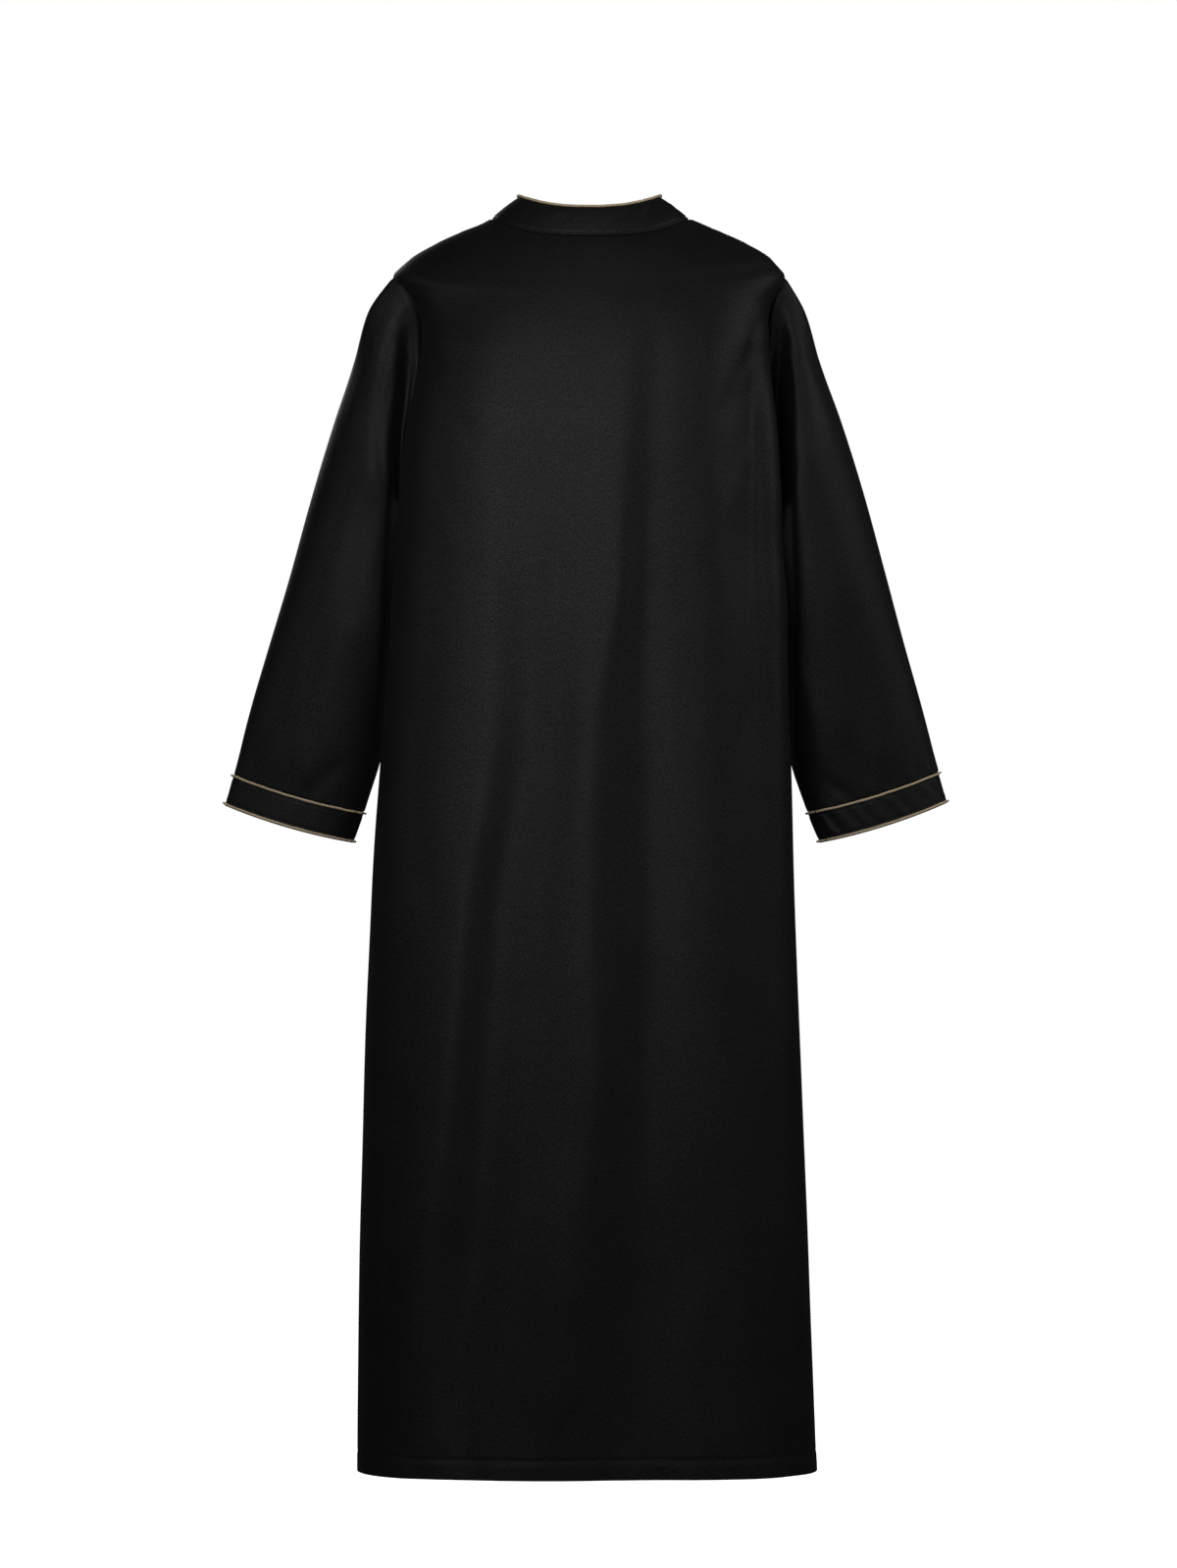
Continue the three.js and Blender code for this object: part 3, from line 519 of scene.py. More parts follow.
panel = dict(
    columns=104, rows=250, thickness=0.8,
    seamDip=1.3, seamWidth=1.7,  # a sewn edge turns in
    puckerHigh=0.45, puckerLong=17, puckerReach=13,  # the cloth's waves along its seams
    hemHigh=22, hemGroove=0.45, hemTurn=1.7,  # depth of the turned hem, its stitched line, and its layer
    allowance=(2.0, 4.5, 8.0),  # the seam allowances stand this far into the garment
)
backCreases = table(
    "startX startZ endX endZ width height",
    [-198, -96, -176, -150, 5, -1.3],
    [-193, -128, -150, -205, 9, -1.2],
    [-188, -170, -120, -262, 13, -0.9],
    [-196, -235, -146, -330, 12, 1.0],
    [182, -96, 166, -160, 7, -0.9],
    [178, -150, 128, -232, 11, -1.0],
    [190, -240, 150, -352, 14, 0.9],
    [60, -20, 44, -64, 8, -0.5],
    [-72, -22, -56, -70, 8, -0.6],
    [-182, -520, -160, -700, 14, -1.2],
    [188, -560, 176, -760, 15, -1.1],
    [12, -1300, 34, -1386, 10, -1.1],
    [-120, -1180, -128, -1380, 16, 1.4],
    [120, -1120, 136, -1380, 15, -1.4],
    [206, -980, 214, -1200, 12, -1.2],
    [-214, -1090, -224, -1330, 12, 1.3],
)
frontCreases = table(
    "startX startZ endX endZ width height",
    [150, -150, 96, -236, 11, -1.1],
    [160, -214, 120, -330, 13, 1.0],
    [-148, -148, -90, -250, 12, -1.2],
    [-158, -220, -116, -316, 12, 0.9],
    [24, -420, 34, -560, 9, 1.1],
    [-26, -424, -36, -590, 10, -1.0],
    [184, -560, 172, -740, 15, -1.1],
    [-186, -600, -176, -790, 14, 1.0],
    [-104, -1120, -112, -1380, 15, -1.3],
    [84, -1180, 88, -1380, 14, 1.3],
    [208, -1020, 216, -1260, 12, 1.2],
    [-212, -980, -220, -1230, 13, -1.2],
)


def panelDetail(points, across, down, width, creases, seed):
    fromEdge = np.minimum(across, width - across)
    x, z = points[..., 0], points[..., 2]
    height = creaseHeight(creases, x, z) * ease(fromEdge / 13)
    drift = unevenWave(seed, 230)(x * 0.6 + z * 0.25) * unevenWave(seed + 1, 310)(z + 0.3 * x)
    height = height + 0.8 * drift * ease(-(z + 40) / 200)
    pucker = unevenWave(seed + 2, panel["puckerLong"])(down) * bump(fromEdge, panel["puckerReach"])
    height = height + panel["puckerHigh"] * pucker * (0.35 + 0.65 * ease(-(z + 50) / 40))
    fromHem = bodyEnd - down
    stitched = bump(fromHem - panel["hemHigh"], 1.4)
    hemWave = unevenWave(seed + 3, 24)(x) * bump(fromHem - panel["hemHigh"], 12)
    hemEdge = unevenWave(seed + 4, 52)(x) * bump(fromHem, 16)
    height = height - panel["hemGroove"] * stitched + 0.3 * hemWave + 0.7 * hemEdge
    height = height + 0.35 * ease((panel["hemHigh"] - fromHem) / 3)
    height = height - panel["seamDip"] * bump(fromEdge, panel["seamWidth"])
    return height - panel["seamDip"] * bump(down, panel["seamWidth"])


def bodyPanel(isBack, creases, seed):
    column = "armBack" if isBack else "armFront"
    gap = 0.1 if isBack else -0.1  # a hair off the other panel's edge
    paths = spaced(bodyEnd, panel["rows"])
    hemRow = np.argmin(np.abs(paths - (bodyEnd - panel["hemHigh"])))
    paths = np.sort(np.concatenate((paths, paths[hemRow] + np.array((-2.4, -1.2, 1.2, 2.4)))))
    edge = ringCurves[column](paths) + gap
    left = angleAtDepth(paths, edge, True)
    right = angleAtDepth(paths, edge, False) - (0 if isBack else 2 * math.pi)
    share = np.linspace(0, 1, 241)
    angles = left[:, None] + (right - left)[:, None] * share
    run = runningLength(bodyPoint(paths[:, None], angles))
    places = np.array([spaced(length, panel["columns"]) for length in run[:, -1]])
    angles = np.array([np.interp(p, r, a) for p, r, a in zip(places, run, angles)])
    points = bodyPoint(paths[:, None], angles)
    normals = gridNormals(points, flip=not isBack)
    down = np.broadcast_to(paths[:, None], places.shape)
    height = panelDetail(points, places, down, run[:, -1:], creases, seed)
    points = points + normals * height[..., None]
    normals = gridNormals(points, flip=not isBack)
    return points, normals, paths, angles[0]


def withHem(points, normals, paths):  # the cloth turns in at the hem and runs back up inside
    rows = [points]
    for inward, lower in ((0.35, 0.5), (0.85, 0.7), (1.35, 0.5)):
        row = points[-1] - normals[-1] * inward
        row[:, 2] -= lower
        rows.append(row[None])
    turned = paths > bodyEnd - panel["hemHigh"] + 1
    rows.append((points[turned] - normals[turned] * panel["hemTurn"])[::-1])
    return np.concatenate(rows)


def withAllowances(points, normals, hemRows):  # at both sides
    outward = gridNormals(points)
    outward = outward * np.sign((outward[:1] * normals[:1]).sum(-1).mean())
    shorter = np.ones((len(points), 1))
    shorter[-hemRows:] = 0.12  # there is little room for them inside the turned hem
    left = [points[:, 0] - outward[:, 0] * d * shorter for d in panel["allowance"][::-1]]
    right = [points[:, -1] - outward[:, -1] * d * shorter for d in panel["allowance"]]
    return np.concatenate((np.stack(left, 1), points, np.stack(right, 1)), axis=1)


def behindCollar(angles):  # the neck's allowance, inside the collar band
    rows = []
    for high, deep in ((7, 2.75), (3.5, 2.7), (0.6, 2.5)):
        share = high / collar["height"] + 0 * angles
        rows.append(collarPoint(share, angles) - collarNormal(share, angles) * deep)
    return np.stack(rows)


def makePanel(node, isBack, creases, seed):
    points, normals, paths, neckAngles = bodyPanel(isBack, creases, seed)
    whole = withHem(points, normals, paths)
    hemRows = len(whole) - len(points) + 2
    whole = np.concatenate((behindCollar(neckAngles), whole))
    whole = withAllowances(whole, normals, hemRows)
    faces = gridFaces(len(whole), whole.shape[1])
    piece = meshFrom(node.replace("panel", "cloth"), whole, faces if isBack else faces[:, ::-1],
                     clothUv(whole))
    thicken(piece, panel["thickness"])
    dress(piece, twillMaterial, "black_twill", node)
    return points, normals, paths


backPoints, backNormals, bodyPaths = makePanel("back_panel", True, backCreases, 11)
frontPoints, frontNormals, _ = makePanel("front_panel", False, frontCreases, 29)
hemIndex = np.argmin(np.abs(bodyPaths - (bodyEnd - panel["hemHigh"])))
stitchLine("hem_stitches_back", backPoints[hemIndex], backNormals[hemIndex])
stitchLine("hem_stitches_front", frontPoints[hemIndex], frontNormals[hemIndex])
print("body made")


# Sleeves and cuffs

sleeveStations = table(
    "outX outZ inX inZ midY deep sag rightOut rightIn rightUp",
    [219, -49, 209, -290, -22, 36, 0, 0, 0, 0],
    [247.5, -87, 215, -302, -28, 48, 0, 5, 0, 0],
    [264, -140, 211, -318, -38, 54, 0, 4, 0, 0],
    [287.5, -208, 206, -345, -48, 56, 0, 2, 0, 0],
    [313.5, -296, 204, -390, -54, 55, 1, 0, 2, 0],
    [339, -386, 206, -450, -57, 51, 2, 1, 4, 0],
    [365.5, -474, 219, -520, -60, 44, 3, 4, 6, 0],
    [389, -555, 236, -594, -62, 36, 4, 5, 7, 1],
    [402.5, -608, 254.5, -650.5, -64, 30, 4, 5.5, 6, 3],
    [412.5, -642, 266.5, -684.5, -65, 28, 4, 6, 4.5, 3],
)
cuffStation = 8
joinStation = 3
middles = [(sleeveStations[a] + sleeveStations[b]) / 2 for a, b in (("outX", "inX"), ("outZ", "inZ"))]
stationPath = runningLength(np.stack((middles[0], sleeveStations["midY"], middles[1]), -1))
stationCurves = {name: curveThrough(stationPath, values) for name, values in sleeveStations.items()}
cuffPath = stationPath[cuffStation]
cuffEnd = stationPath[-1]
sleeve = dict(columns=112, rows=118, thickness=0.8, underarm=152, seamGap=0.3,
              perDegree=1.25,  # mm of cloth for a degree, on average
              allowance=(8.0, 4.5, 2.0))
cuff = dict(rows=22, thickness=2.0, stitchUp=4.4, stitchDown=5.2, perDegree=0.95)
sleeveCreases = dict(  # a: turn in degrees from the outer edge round the back, b: distance down
    left=table(
        "turnA downA turnB downB width height",
        [40, 20, 84, 74, 9, -1.1],
        [70, 30, 112, 96, 11, -1.2],
        [18, 30, 34, 110, 12, -0.8],
        [104, 120, 92, 260, 15, -1.6],
        [84, 250, 74, 430, 17, -1.7],
        [126, 210, 138, 330, 13, 1.3],
        [62, 330, 100, 470, 15, 1.1],
        [118, 430, 92, 500, 10, -1.2],
        [40, 440, 58, 520, 11, -0.9],
        [250, 60, 228, 190, 15, -1.6],
        [282, 180, 270, 360, 17, 1.5],
        [236, 300, 252, 450, 15, -1.4],
        [300, 380, 286, 500, 13, -1.2],
    ),
    right=table(
        "turnA downA turnB downB width height",
        [36, 18, 76, 80, 9, -1.2],
        [64, 26, 106, 92, 10, -1.3],
        [20, 34, 30, 120, 12, -0.8],
        [108, 110, 112, 250, 15, 1.6],
        [74, 270, 94, 430, 18, -2.0],
        [94, 420, 112, 520, 13, -1.8],
        [132, 300, 126, 440, 13, 1.4],
        [124, 452, 96, 514, 7, -1.5],
        [138, 470, 112, 524, 6, 1.3],
        [44, 420, 60, 510, 12, -1.0],
        [246, 70, 232, 210, 15, -1.6],
        [276, 200, 284, 360, 17, 1.4],
        [232, 320, 246, 460, 14, -1.3],
        [304, 360, 290, 490, 13, -1.2],
    ),
)
rippleHigh = dict(left=0.35, right=0.95)  # the right cuff is the more puckered
tuck = dict(  # beside the body each sleeve's back dives in, which leaves a dark fold
    steep=1.6, fromSeam=22,
    left=table("z reach", [-90, 24], [-125, 29], [-200, 19], [-280, 15], [-500, 11], [-560, 9]),
    right=table("z reach", [-90, 22], [-125, 30], [-200, 32], [-280, 28], [-500, 20], [-560, 14]),
)


def armholeSeam(isLeft):
    inset = 0.3
    paths = np.linspace(sidePath[shoulderRing] + inset, sidePath[armpitRing] - inset, 160)
    halves = [np.stack((paths, ringCurves["armBack"](paths)), -1),
              np.stack((paths, ringCurves["armFront"](paths)), -1)[::-1]]
    stops = np.concatenate(halves)
    angles = angleAtDepth(stops[:, 0], stops[:, 1], isLeft)
    points = bodyPoint(stops[:, 0], angles)
    normals = bodyNormal(stops[:, 0], angles)
    along = np.roll(points, -1, axis=0) - np.roll(points, 1, axis=0)
    intoHole = unit(np.cross(along, normals)) * (1 if isLeft else -1)
    seam = points + intoHole * sleeve["seamGap"] + normals * 0.25
    closed = np.concatenate((seam, seam[:1]))
    run = runningLength(closed)
    half = len(paths)
    back = (run[half - 1] + run[half]) / 2
    turns = np.where(run <= back, run / back, 1 + (run - back) / (run[-1] - back)) * math.pi
    inward = -np.concatenate((normals, normals[:1]))
    return (lambda turn: rowsAt(turn, turns, closed)), (lambda turn: rowsAt(turn, turns, inward))


def sleeveOval(path, turn, isLeft):
    s = {name: curve(path) for name, curve in stationCurves.items()}
    outX = s["outX"] if isLeft else s["rightOut"] - s["outX"]
    inX = s["inX"] if isLeft else s["rightIn"] - s["inX"]
    outZ = s["outZ"] + (0 if isLeft else s["rightUp"])
    share = (1 + np.cos(turn)) / 2
    z = s["inZ"] + (outZ - s["inZ"]) * share - s["sag"] * np.sin(turn) ** 2
    return np.stack((inX + (outX - inX) * share, s["midY"] + s["deep"] * np.sin(turn), z), -1)


def sleevePoint(path, turn, isLeft, armhole):
    turn = turn % (2 * math.pi)
    offSeam = armhole(turn) - sleeveOval(0 * path, turn, isLeft)
    settled = np.clip(path / stationPath[joinStation], 0, 1)
    return sleeveOval(path, turn, isLeft) + offSeam * (1 - np.sin(settled * math.pi / 2))[..., None]


def ringNormals(points, isLeft):  # outward, on a grid whose rows are closed rings
    wide = np.concatenate((points[:, -2:], points, points[:, :2]), axis=1)
    return gridNormals(wide, flip=not isLeft)[:, 2:-2]


def ringUv(points):
    closed = np.concatenate((points, points[:, :1]), axis=1)
    return clothUv(closed)[:, :-1]


def offUnderarm(turn):  # degrees from the underarm seam
    return np.abs((np.degrees(turn) - sleeve["underarm"] + 180) % 360 - 180)


def tucked(points, path, turn, side):
    sign = 1 if side == "left" else -1
    z = points[..., 2]
    bodySide = np.interp(-z, -bodyRings["z"], sign * bodyRings["shift"] + bodyRings["half"])
    reach = np.interp(-z, -tuck[side]["z"], tuck[side]["reach"])
    near = ease(1 - (sign * points[..., 0] - bodySide) / reach)
    lower = ease((z + 640) / 90)  # the fold opens out above the cuffs
    fromSeam = ease((path - 4) / tuck["fromSeam"])
    onBack = np.sqrt(np.clip(np.sin(turn), 0, 1))
    moved = points.copy()
    moved[..., 1] -= tuck["steep"] * reach * near * onBack * lower * fromSeam
    return moved


def makeSleeve(side):
    isLeft = side == "left"
    seed = 41 if isLeft else 57
    armhole, intoBody = armholeSeam(isLeft)
    turns = np.arange(sleeve["columns"]) / sleeve["columns"] * 2 * math.pi
    paths = spaced(cuffPath - 0.1, sleeve["rows"])
    path, turn = np.meshgrid(paths, turns, indexing="ij")
    points = tucked(sleevePoint(path, turn, isLeft, armhole), path, turn, side)
    normals = ringNormals(points, isLeft)
    degrees = np.degrees(turn)
    girth = runningLength(points)[:, -1:] / 360  # mm of cloth for each degree
    creases, scale = sleeveCreases[side], sleeve["perDegree"]
    scaled = dict(creases, turnA=creases["turnA"] * scale, turnB=creases["turnB"] * scale)
    height = creaseHeight(scaled, degrees * scale, path)
    drift = unevenWave(seed, 150)(degrees * scale + 0.4 * path) * unevenWave(seed + 1, 190)(path)
    height = height + 0.7 * drift * ease(path / 80)
    around = degrees * girth
    height = height + 0.5 * unevenWave(seed + 2, 15)(around) * bump(path, 14)
    toCuff = cuffPath - path
    ripple = unevenWave(seed + 3, 19)(around) * bump(toCuff, 16) * ease(toCuff / 7)
    height = height + rippleHigh[side] * ripple
    fromSeam = offUnderarm(turn) * girth
    height = height - 0.9 * bump(fromSeam, 1.9)
    height = height + 0.4 * unevenWave(seed + 4, 16)(path) * bump(fromSeam, 10)
    height = height - 1.3 * bump(path, 1.7) - 0.9 * bump(toCuff, 1.7)
    settle = ease(path / 6)  # the sewn edge itself stays on the armhole
    height = height * settle - 1.3 * (1 - settle) * bump(path, 1.7)
    points = points + normals * height[..., None]
    seamAllowance = [points[0] + intoBody(turns) * deep for deep in sleeve["allowance"]]
    points = np.concatenate((seamAllowance, points))
    faces = gridFaces(len(points), len(turns), True)
    piece = meshFrom(f"sleeve_{side}_cloth", points, faces if isLeft else faces[:, ::-1], ringUv(points))
    thicken(piece, sleeve["thickness"])
    dress(piece, twillMaterial, "black_twill", f"sleeve_{side}", f"sleeve_lower_{side}")
    return armhole, turns


def makeCuff(side, armhole, turns):
    isLeft = side == "left"
    seed = 71 if isLeft else 83
    paths = cuffPath + spaced(cuffEnd - cuffPath, cuff["rows"], (0.1, 0.7, 1.5, 2.6))
    path, turn = np.meshgrid(paths, turns, indexing="ij")
    points = sleevePoint(path, turn, isLeft, armhole)
    normals = ringNormals(points, isLeft)
    around = runningLength(points)
    down = path - cuffPath
    height = rippleHigh[side] * 0.8 * unevenWave(seed, 21)(around + 0.5 * down) * ease(down / 8)
    height = height * ease((cuffEnd - path) / 12)
    height = height - 0.9 * bump(down, 1.6) - 0.5 * bump(cuffEnd - path - cuff["stitchDown"], 0.9)
    height = height - 0.45 * bump(down - cuff["stitchUp"], 0.9)
    height = height - 0.8 * bump(offUnderarm(turn) * cuff["perDegree"], 1.6)
    points = points + normals * height[..., None]
    normals = ringNormals(points, isLeft)
    faces = gridFaces(len(paths), len(turns), True)
    piece = meshFrom(f"cuff_{side}_band", points, faces if isLeft else faces[:, ::-1], ringUv(points))
    thicken(piece, cuff["thickness"])
    dress(piece, twillMaterial, "black_twill", f"cuff_{side}")
    for name, at in (("upper", cuff["stitchUp"]), ("lower", cuffEnd - cuffPath - cuff["stitchDown"])):
        row = np.argmin(np.abs(paths - cuffPath - at))
        stitchLine(f"cuff_{side}_stitches_{name}", points[row], normals[row])


# Piping: a cord wrapped in satin, with the fine turns of its wrap

piping = dict(radius=1.35, gap=0.3, sides=14, step=1.0, wrap=3.4, wrapHigh=0.09)


def makePiping(name, line, normals, node, wobbleSeed):
    run = runningLength(line)
    places = np.linspace(0, run[-1], int(run[-1] / piping["step"]))
    centre = rowsAt(places, run, line)
    up = unit(rowsAt(places, run, normals))
    side = unit(np.cross(np.gradient(centre, axis=0), up))
    wobble = 0.16 * unevenWave(wobbleSeed, 26)(places)[:, None]
    centre = centre + up * (piping["radius"] + piping["gap"]) + side * wobble
    turn = np.arange(piping["sides"]) / piping["sides"] * 2 * math.pi
    phase = 2 * math.pi * places[:, None] / piping["wrap"]
    radius = piping["radius"] * (1 + piping["wrapHigh"] * np.cos(2 * turn - phase))
    ends = np.minimum(places, run[-1] - places)[:, None]
    radius = radius * np.sqrt(np.clip(ends / piping["radius"] + 0.12, 0, 1))  # the ends are tucked round
    points = (centre[:, None] + up[:, None] * (radius * np.cos(turn))[..., None]
              + side[:, None] * (radius * np.sin(turn))[..., None])
    piece = meshFrom(name, points, gridFaces(len(places), piping["sides"], True)[:, ::-1])
    closeEnds(piece, piping["sides"], len(places))
    dress(piece, satinMaterial, "gold_satin", node)


def closeEnds(piece, sides, rows):
    mesh = piece.data
    points = [v.co[:] for v in mesh.vertices]
    faces = [list(p.vertices) for p in mesh.polygons]
    last = (rows - 1) * sides
    faces += [list(range(sides)), [last + i for i in reversed(range(sides))]]
    mesh.clear_geometry()
    mesh.from_pydata(points, [], faces)
    mesh.polygons.foreach_set("use_smooth", np.ones(len(mesh.polygons), bool))
    mesh.update()


def cuffPiping(side, which, path, armhole):
    isLeft = side == "left"
    start = math.radians(sleeve["underarm"])
    turns = start + np.linspace(0.004, 2 * math.pi - 0.004, 200)
    grid = np.stack([sleevePoint(path + d + 0 * turns, turns, isLeft, armhole) for d in (-1, 0, 1)])
    normals = gridNormals(grid, flip=not isLeft)[1]
    seed = 5 if which == "upper" else 9
    makePiping(f"cuff_{side}_piping_{which}", grid[1], normals, f"cuff_piping_{which}_{side}", seed)


for side in ("left", "right"):
    armhole, turns = makeSleeve(side)
    makeCuff(side, armhole, turns)
    cuffPiping(side, "upper", cuffPath, armhole)
    cuffPiping(side, "lower", cuffEnd - piping["radius"] - 1.0, armhole)
print("sleeves made")


# Collar

def makeCollar():
    halfOpening = collar["opening"] / 2 / collarTop["half"]
    fine = np.linspace(halfOpening, 2 * math.pi - halfOpening, 900) - math.pi / 2
    middle = collarPoint(0.5 + 0 * fine, fine)
    run = runningLength(middle)
    angles = np.interp(spaced(run[-1], collar["columns"], (0, 0.6, 1.4, 2.6)), run, fine)
    up = spaced(collar["height"], collar["rows"], (0.2, 0.8, 1.6, 2.4, 3.2, 4.2))
    share, angle = np.meshgrid(up / collar["height"], angles, indexing="ij")
    points = collarPoint(share, angle)
    normals = gridNormals(points, flip=True)
    high = share * collar["height"]
    along = runningLength(points)
    height = 0.3 * unevenWave(91, 34)(along + 0.4 * high) * np.sin(math.pi * share)
    height = height - 1.0 * bump(high - collar["stitchUp"], 1.0) - 1.6 * bump(high, 1.3)
    height = height + 0.25 * unevenWave(93, 12)(along) * bump(high, 6)
    crease = table("a b toA toB width height", [-72, 34, -63, 14, 5, -0.8], [58, 34, 66, 16, 6, -0.4])
    isBack = points[..., 1] > 0
    height = height + np.where(isBack, creaseHeight(crease, points[..., 0], high), 0)
    upperStitches = collar["height"] - collar["stitchDown"]
    height = height - 0.5 * bump(high - upperStitches, 0.9)
    points = points + normals * height[..., None]
    normals = gridNormals(points, flip=True)
    piece = meshFrom("collar_band", points, gridFaces(*points.shape[:2])[:, ::-1], clothUv(points))
    thicken(piece, collar["thickness"])
    dress(piece, twillMaterial, "black_twill", "collar")
    for name, at in (("lower", collar["stitchUp"]), ("upper", upperStitches)):
        row = np.argmin(np.abs(up - at))
        stitchLine(f"collar_stitches_{name}", points[row], normals[row], collar["stitchSpacing"])
    pipingShare = 1 - (piping["radius"] + 1.0) / collar["height"] + np.array((-0.02, 0, 0.02))
    share, angle = np.meshgrid(pipingShare, angles, indexing="ij")
    grid = collarPoint(share, angle)
    makePiping("collar_piping_cord", grid[1], gridNormals(grid, flip=True)[1], "collar_piping", 3)


makeCollar()
print("collar made")


# Placket and buttons

placket = dict(half=17, length=350, gap=0.3, thick=1.3, edgeStitch=2.4, columns=30, rows=110, boxHigh=26)
button = dict(count=5, first=26, pitch=70, threadOut=1.55, lift=0.15, rings=45, sides=48)


def onFront(x, path):
    ring = {name: curve(path) for name, curve in ringCurves.items()}
    angle = -np.arccos(np.clip((x - ring["shift"]) / ring["half"], -1, 1))
    return bodyPoint(path, angle), bodyNormal(path, angle)


def placketPath():  # paths down the middle of the front, and how far each is from the neck
    paths = np.linspace(0, sidePath[19], 400)
    middle, _ = onFront(0 * paths, paths)
    return paths, runningLength(middle)


def makePlacket():
    paths, run = placketPath()
    down = spaced(placket["length"], placket["rows"], (0.2, 0.8, 1.6, 2.4, 3.4))
    across = spaced(2 * placket["half"], placket["columns"], (0.1, 0.7, 1.5, 2.4, 3.3)) - placket["half"]
    path, x = np.meshgrid(np.interp(down, run, paths), across[::-1], indexing="ij")
    points, normals = onFront(x, path)
    far = down[:, None] + 0 * x
    edge = placket["half"] - np.abs(x)
    fromEnd = placket["length"] - far
    height = placket["gap"] + placket["thick"] - 0.8 * bump(edge, 0.9) - 0.8 * bump(fromEnd, 0.9)
    height = height - 0.4 * bump(edge - placket["edgeStitch"], 0.8)
    box = placket["length"] - placket["boxHigh"]
    height = height - 0.35 * bump(far - box, 0.8)
    height = height - 0.4 * bump(fromEnd - placket["edgeStitch"], 0.8)
    height = height + 0.3 * unevenWave(101, 42)(far) * ease(edge / 3)
    for i in range(button["count"]):
        near = np.hypot(x, (far - button["first"] - i * button["pitch"]) * 0.8)
        height = height - 0.25 * bump(near, 7)
    points = points + normals * height[..., None]
    normals = gridNormals(points)
    piece = meshFrom("placket_outer", points, gridFaces(*points.shape[:2]), clothUv(points))
    thicken(piece, placket["thick"] - 0.25)
    dress(piece, twillMaterial, "black_twill", "placket_over")
    stitchX = placket["half"] - placket["edgeStitch"]
    for name, at in (("left", stitchX), ("right", -stitchX)):
        column = np.argmin(np.abs(across[::-1] - at))
        stitchLine(f"placket_stitches_{name}", points[:, column], normals[:, column])
    for name, at in (("end", placket["length"] - placket["edgeStitch"]), ("box", box)):
        row = np.argmin(np.abs(down - at))
        inner = np.abs(x[row]) < stitchX
        stitchLine(f"placket_stitches_{name}", points[row][inner], normals[row][inner])
    points, normals = onFront(x, path)
    points = points - normals * 1.7
    piece = meshFrom("placket_inner", points, gridFaces(*points.shape[:2]), clothUv(points))
    thicken(piece, 1.1)
    dress(piece, twillMaterial, "black_twill", "placket_under")


def buttonPoints():  # raised rim and sunk middle; there are no holes, only the threads show
    profile = table(
        "radius high",
        [0.05, 0], [4.9, 0], [5.45, 0.25], [5.72, 0.8], [5.74, 1.5], [5.55, 2.05],
        [5.15, 2.35], [4.6, 2.36], [4.1, 2.1], [3.7, 1.82], [3.2, 1.74], [0.05, 1.7],
    )
    corners = np.arange(len(profile["high"]))
    stops = np.linspace(0, corners[-1], button["rings"])
    radii, highs = [np.interp(stops, corners, profile[name])[:, None] for name in ("radius", "high")]
    turns = np.arange(button["sides"]) / button["sides"] * 2 * math.pi
    return np.stack((radii * np.cos(turns), radii * np.sin(turns), highs + 0 * turns), -1)


def makeButtons():
    paths, run = placketPath()
    rings, sides = button["rings"], button["sides"]
    for i in range(button["count"]):
        at = np.interp(button["first"] + i * button["pitch"], run, paths)
        place, up = onFront(np.zeros(1), np.array([at]))
        place, up = place[0], up[0]
        side = unit(np.cross((0, 0, 1), up))
        tall = np.cross(up, side)
        lift = placket["gap"] + placket["thick"] + button["lift"]
        points = buttonPoints()
        world = place + points[..., :1] * side + points[..., 1:2] * tall + (points[..., 2:] + lift) * up
        piece = meshFrom(f"button_{i + 1}_resin", world, gridFaces(rings, sides, True))
        closeEnds(piece, sides, rings)
        dress(piece, resinMaterial, "dark_button", f"button_{i + 1}")
        makeButtonThread(i, place, side, tall, up, lift)


def makeButtonThread(i, place, side, tall, up, lift):  # two threads, crossed
    share = np.linspace(0, 1, 12)
    for k, lean in enumerate((1, -1)):
        x = button["threadOut"] * (2 * share - 1)
        y = lean * x
        high = 1.5 + 0.75 * np.sin(math.pi * share) ** 0.5 + 0.25 * k
        centre = place + x[:, None] * side + y[:, None] * tall + (high + lift)[:, None] * up
        ahead = unit(np.gradient(centre, axis=0))
        flat = unit(np.cross(up, ahead))
        over = np.cross(ahead, flat)
        turn = np.arange(8) / 8 * 2 * math.pi
        points = centre[:, None] + 0.42 * (np.cos(turn)[:, None] * flat[:, None]
                                           + 0.8 * np.sin(turn)[:, None] * over[:, None])
        piece = meshFrom(f"button_{i + 1}_thread_{k + 1}", points, gridFaces(12, 8, True))
        closeEnds(piece, 8, 12)
        dress(piece, threadMaterial, "black_twill")


makePlacket()
makeButtons()
print("placket and buttons made")
# Studio

stage = dict(floorZ=-1.64, floorSize=16, floorGlow=1.0, roomLight=0.03, white="#ffffff", camera=6.0,
             middleZ=-0.61765, lens=122.8)


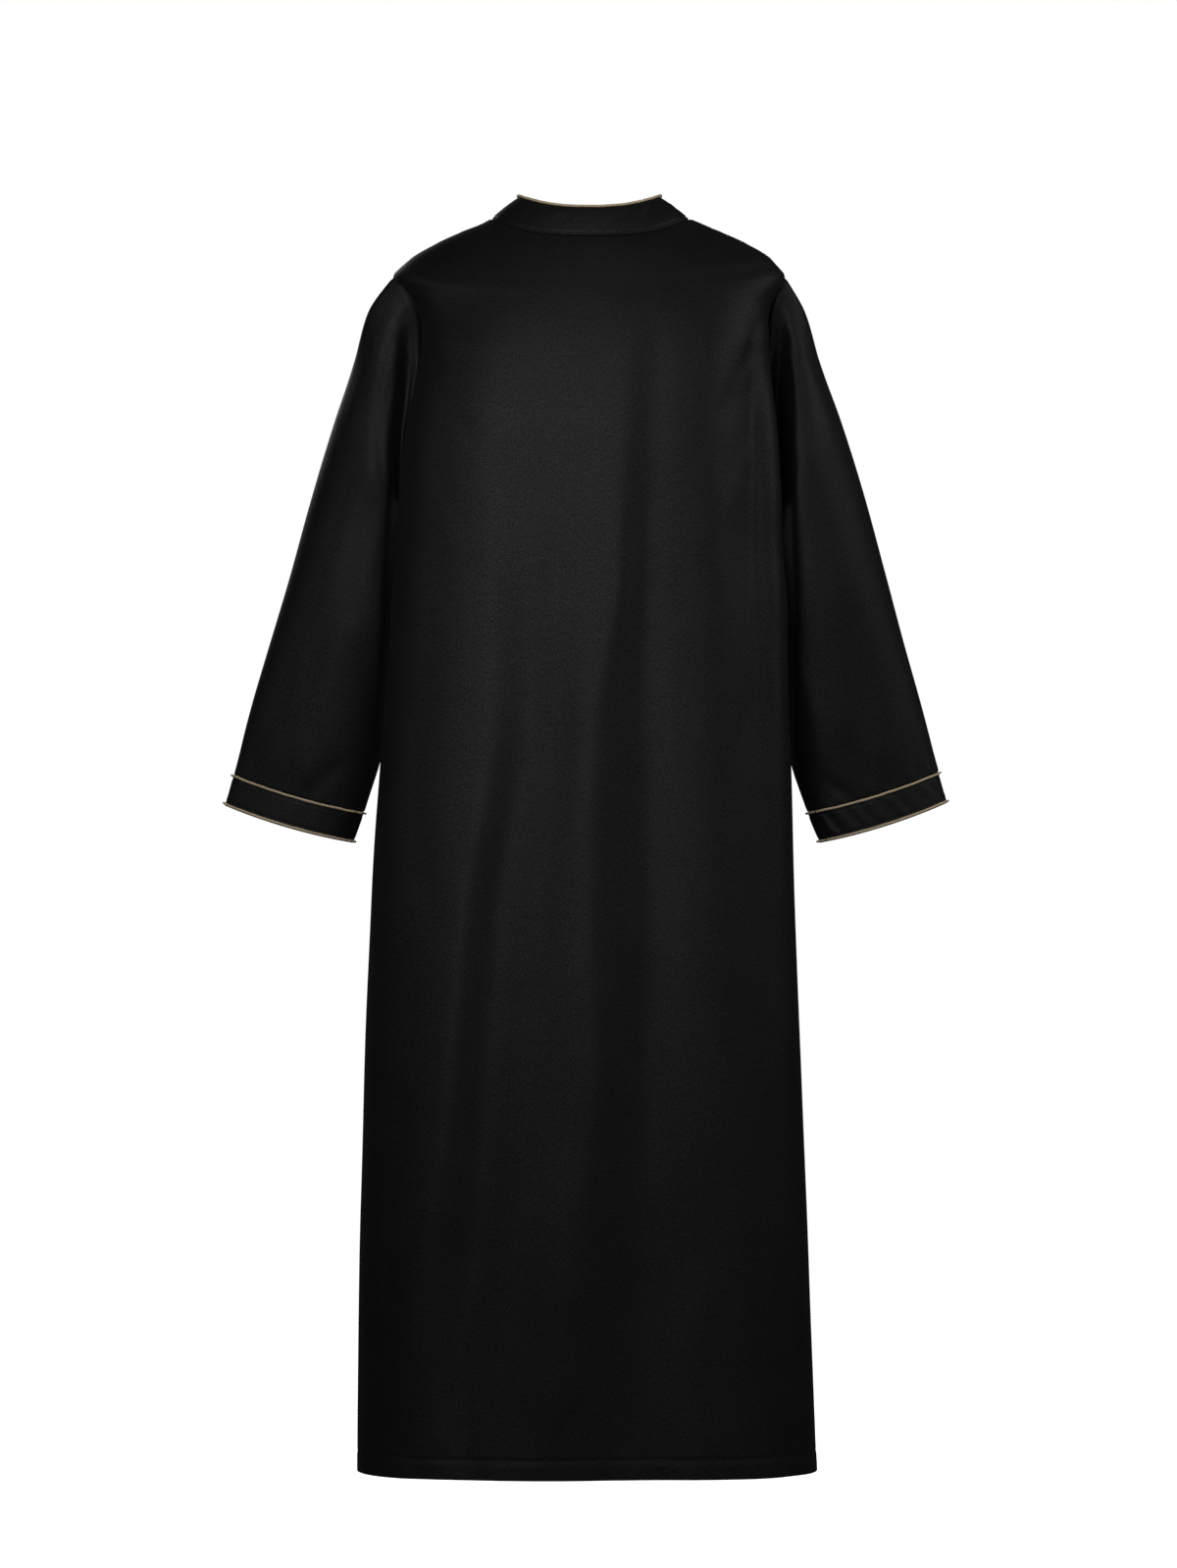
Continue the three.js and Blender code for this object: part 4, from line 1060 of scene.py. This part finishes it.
def makeStage():
    half = stage["floorSize"] / 2
    mesh = bpy.data.meshes.new("studio floor")
    corners = [(-half, -half, 0), (half, -half, 0), (half, half, 0), (-half, half, 0)]
    mesh.from_pydata(corners, [], [(0, 1, 2, 3)])
    floor = addObject("studio floor", mesh)
    floor.location.z = stage["floorZ"]
    mesh.materials.append(newMaterial("matte white studio floor", {
        "Base Color": linear("#f4f4f4"), "Roughness": 0.9, "Specular IOR Level": 0.1,
        "Emission Color": linear(stage["white"]), "Emission Strength": stage["floorGlow"]})[0])
    floor.visible_diffuse = False  # a white sweep that throws no light back up at black cloth
    floor.visible_glossy = False
    world = bpy.data.worlds.new("studio")
    world.use_nodes = True
    tree = world.node_tree
    backdrop = tree.nodes["Background"]
    backdrop.inputs["Color"].default_value = linear(stage["white"])
    room = addNode(tree, "ShaderNodeBackground", {}, {"Color": linear(stage["white"]),
                   "Strength": stage["roomLight"]})
    seen = addNode(tree, "ShaderNodeLightPath")
    mix = addNode(tree, "ShaderNodeMixShader", {}, {},
                  {0: seen.outputs["Is Camera Ray"], 1: room.outputs[0], 2: backdrop.outputs[0]})
    tree.links.new(mix.outputs[0], tree.nodes["World Output"].inputs["Surface"])
    bpy.context.scene.world = world
    bpy.context.scene.view_settings.view_transform = "Standard"


def softbox(name, place, aim, size, power):
    light = bpy.data.lights.new(name, "AREA")
    light.shape = "RECTANGLE"
    light.size, light.size_y = size
    light.energy = power
    lamp = addObject(name, light)
    lamp.location = place
    towards = np.array(aim) - np.array(place)
    flat = math.hypot(towards[0], towards[1])
    lamp.rotation_euler = (math.atan2(flat, -towards[2]), 0, math.atan2(-towards[0], towards[1]))


def makeCamera():
    data = bpy.data.cameras.new("camera")
    data.lens = stage["lens"]
    data.sensor_width = 36
    camera = addObject("camera", data)
    camera.location = (0, stage["camera"], stage["middleZ"])
    camera.rotation_euler = (math.pi / 2, 0, math.pi)
    bpy.context.scene.camera = camera


makeStage()
softbox("key", (0.34, 1.9, -0.06), (0, 0, -0.3), (0.65, 0.65), 6.9)
softbox("middle fill", (-0.5, 2.0, -0.1), (0, 0, -0.34), (0.8, 0.8), 1.3)
softbox("top", (0, 2.3, 1.6), (0, 0, -0.2), (1.2, 0.9), 5)
softbox("left side fill", (1.8, 1.1, 0.1), (0, 0, -0.4), (0.8, 0.8), 1.9)
softbox("right side fill", (-1.8, 1.1, 0.1), (0, 0, -0.4), (0.8, 0.8), 2.8)
softbox("right edge", (-2.3, 0.5, 0.9), (0, 0, -0.2), (0.6, 0.9), 6)
softbox("front key", (-0.3, -2.9, 0.2), (0, 0, -0.45), (0.7, 1.2), 30)
softbox("front fill", (1.5, -2.6, 0.9), (0, 0, -0.45), (1.2, 1.2), 10)
makeCamera()
print("studio made")
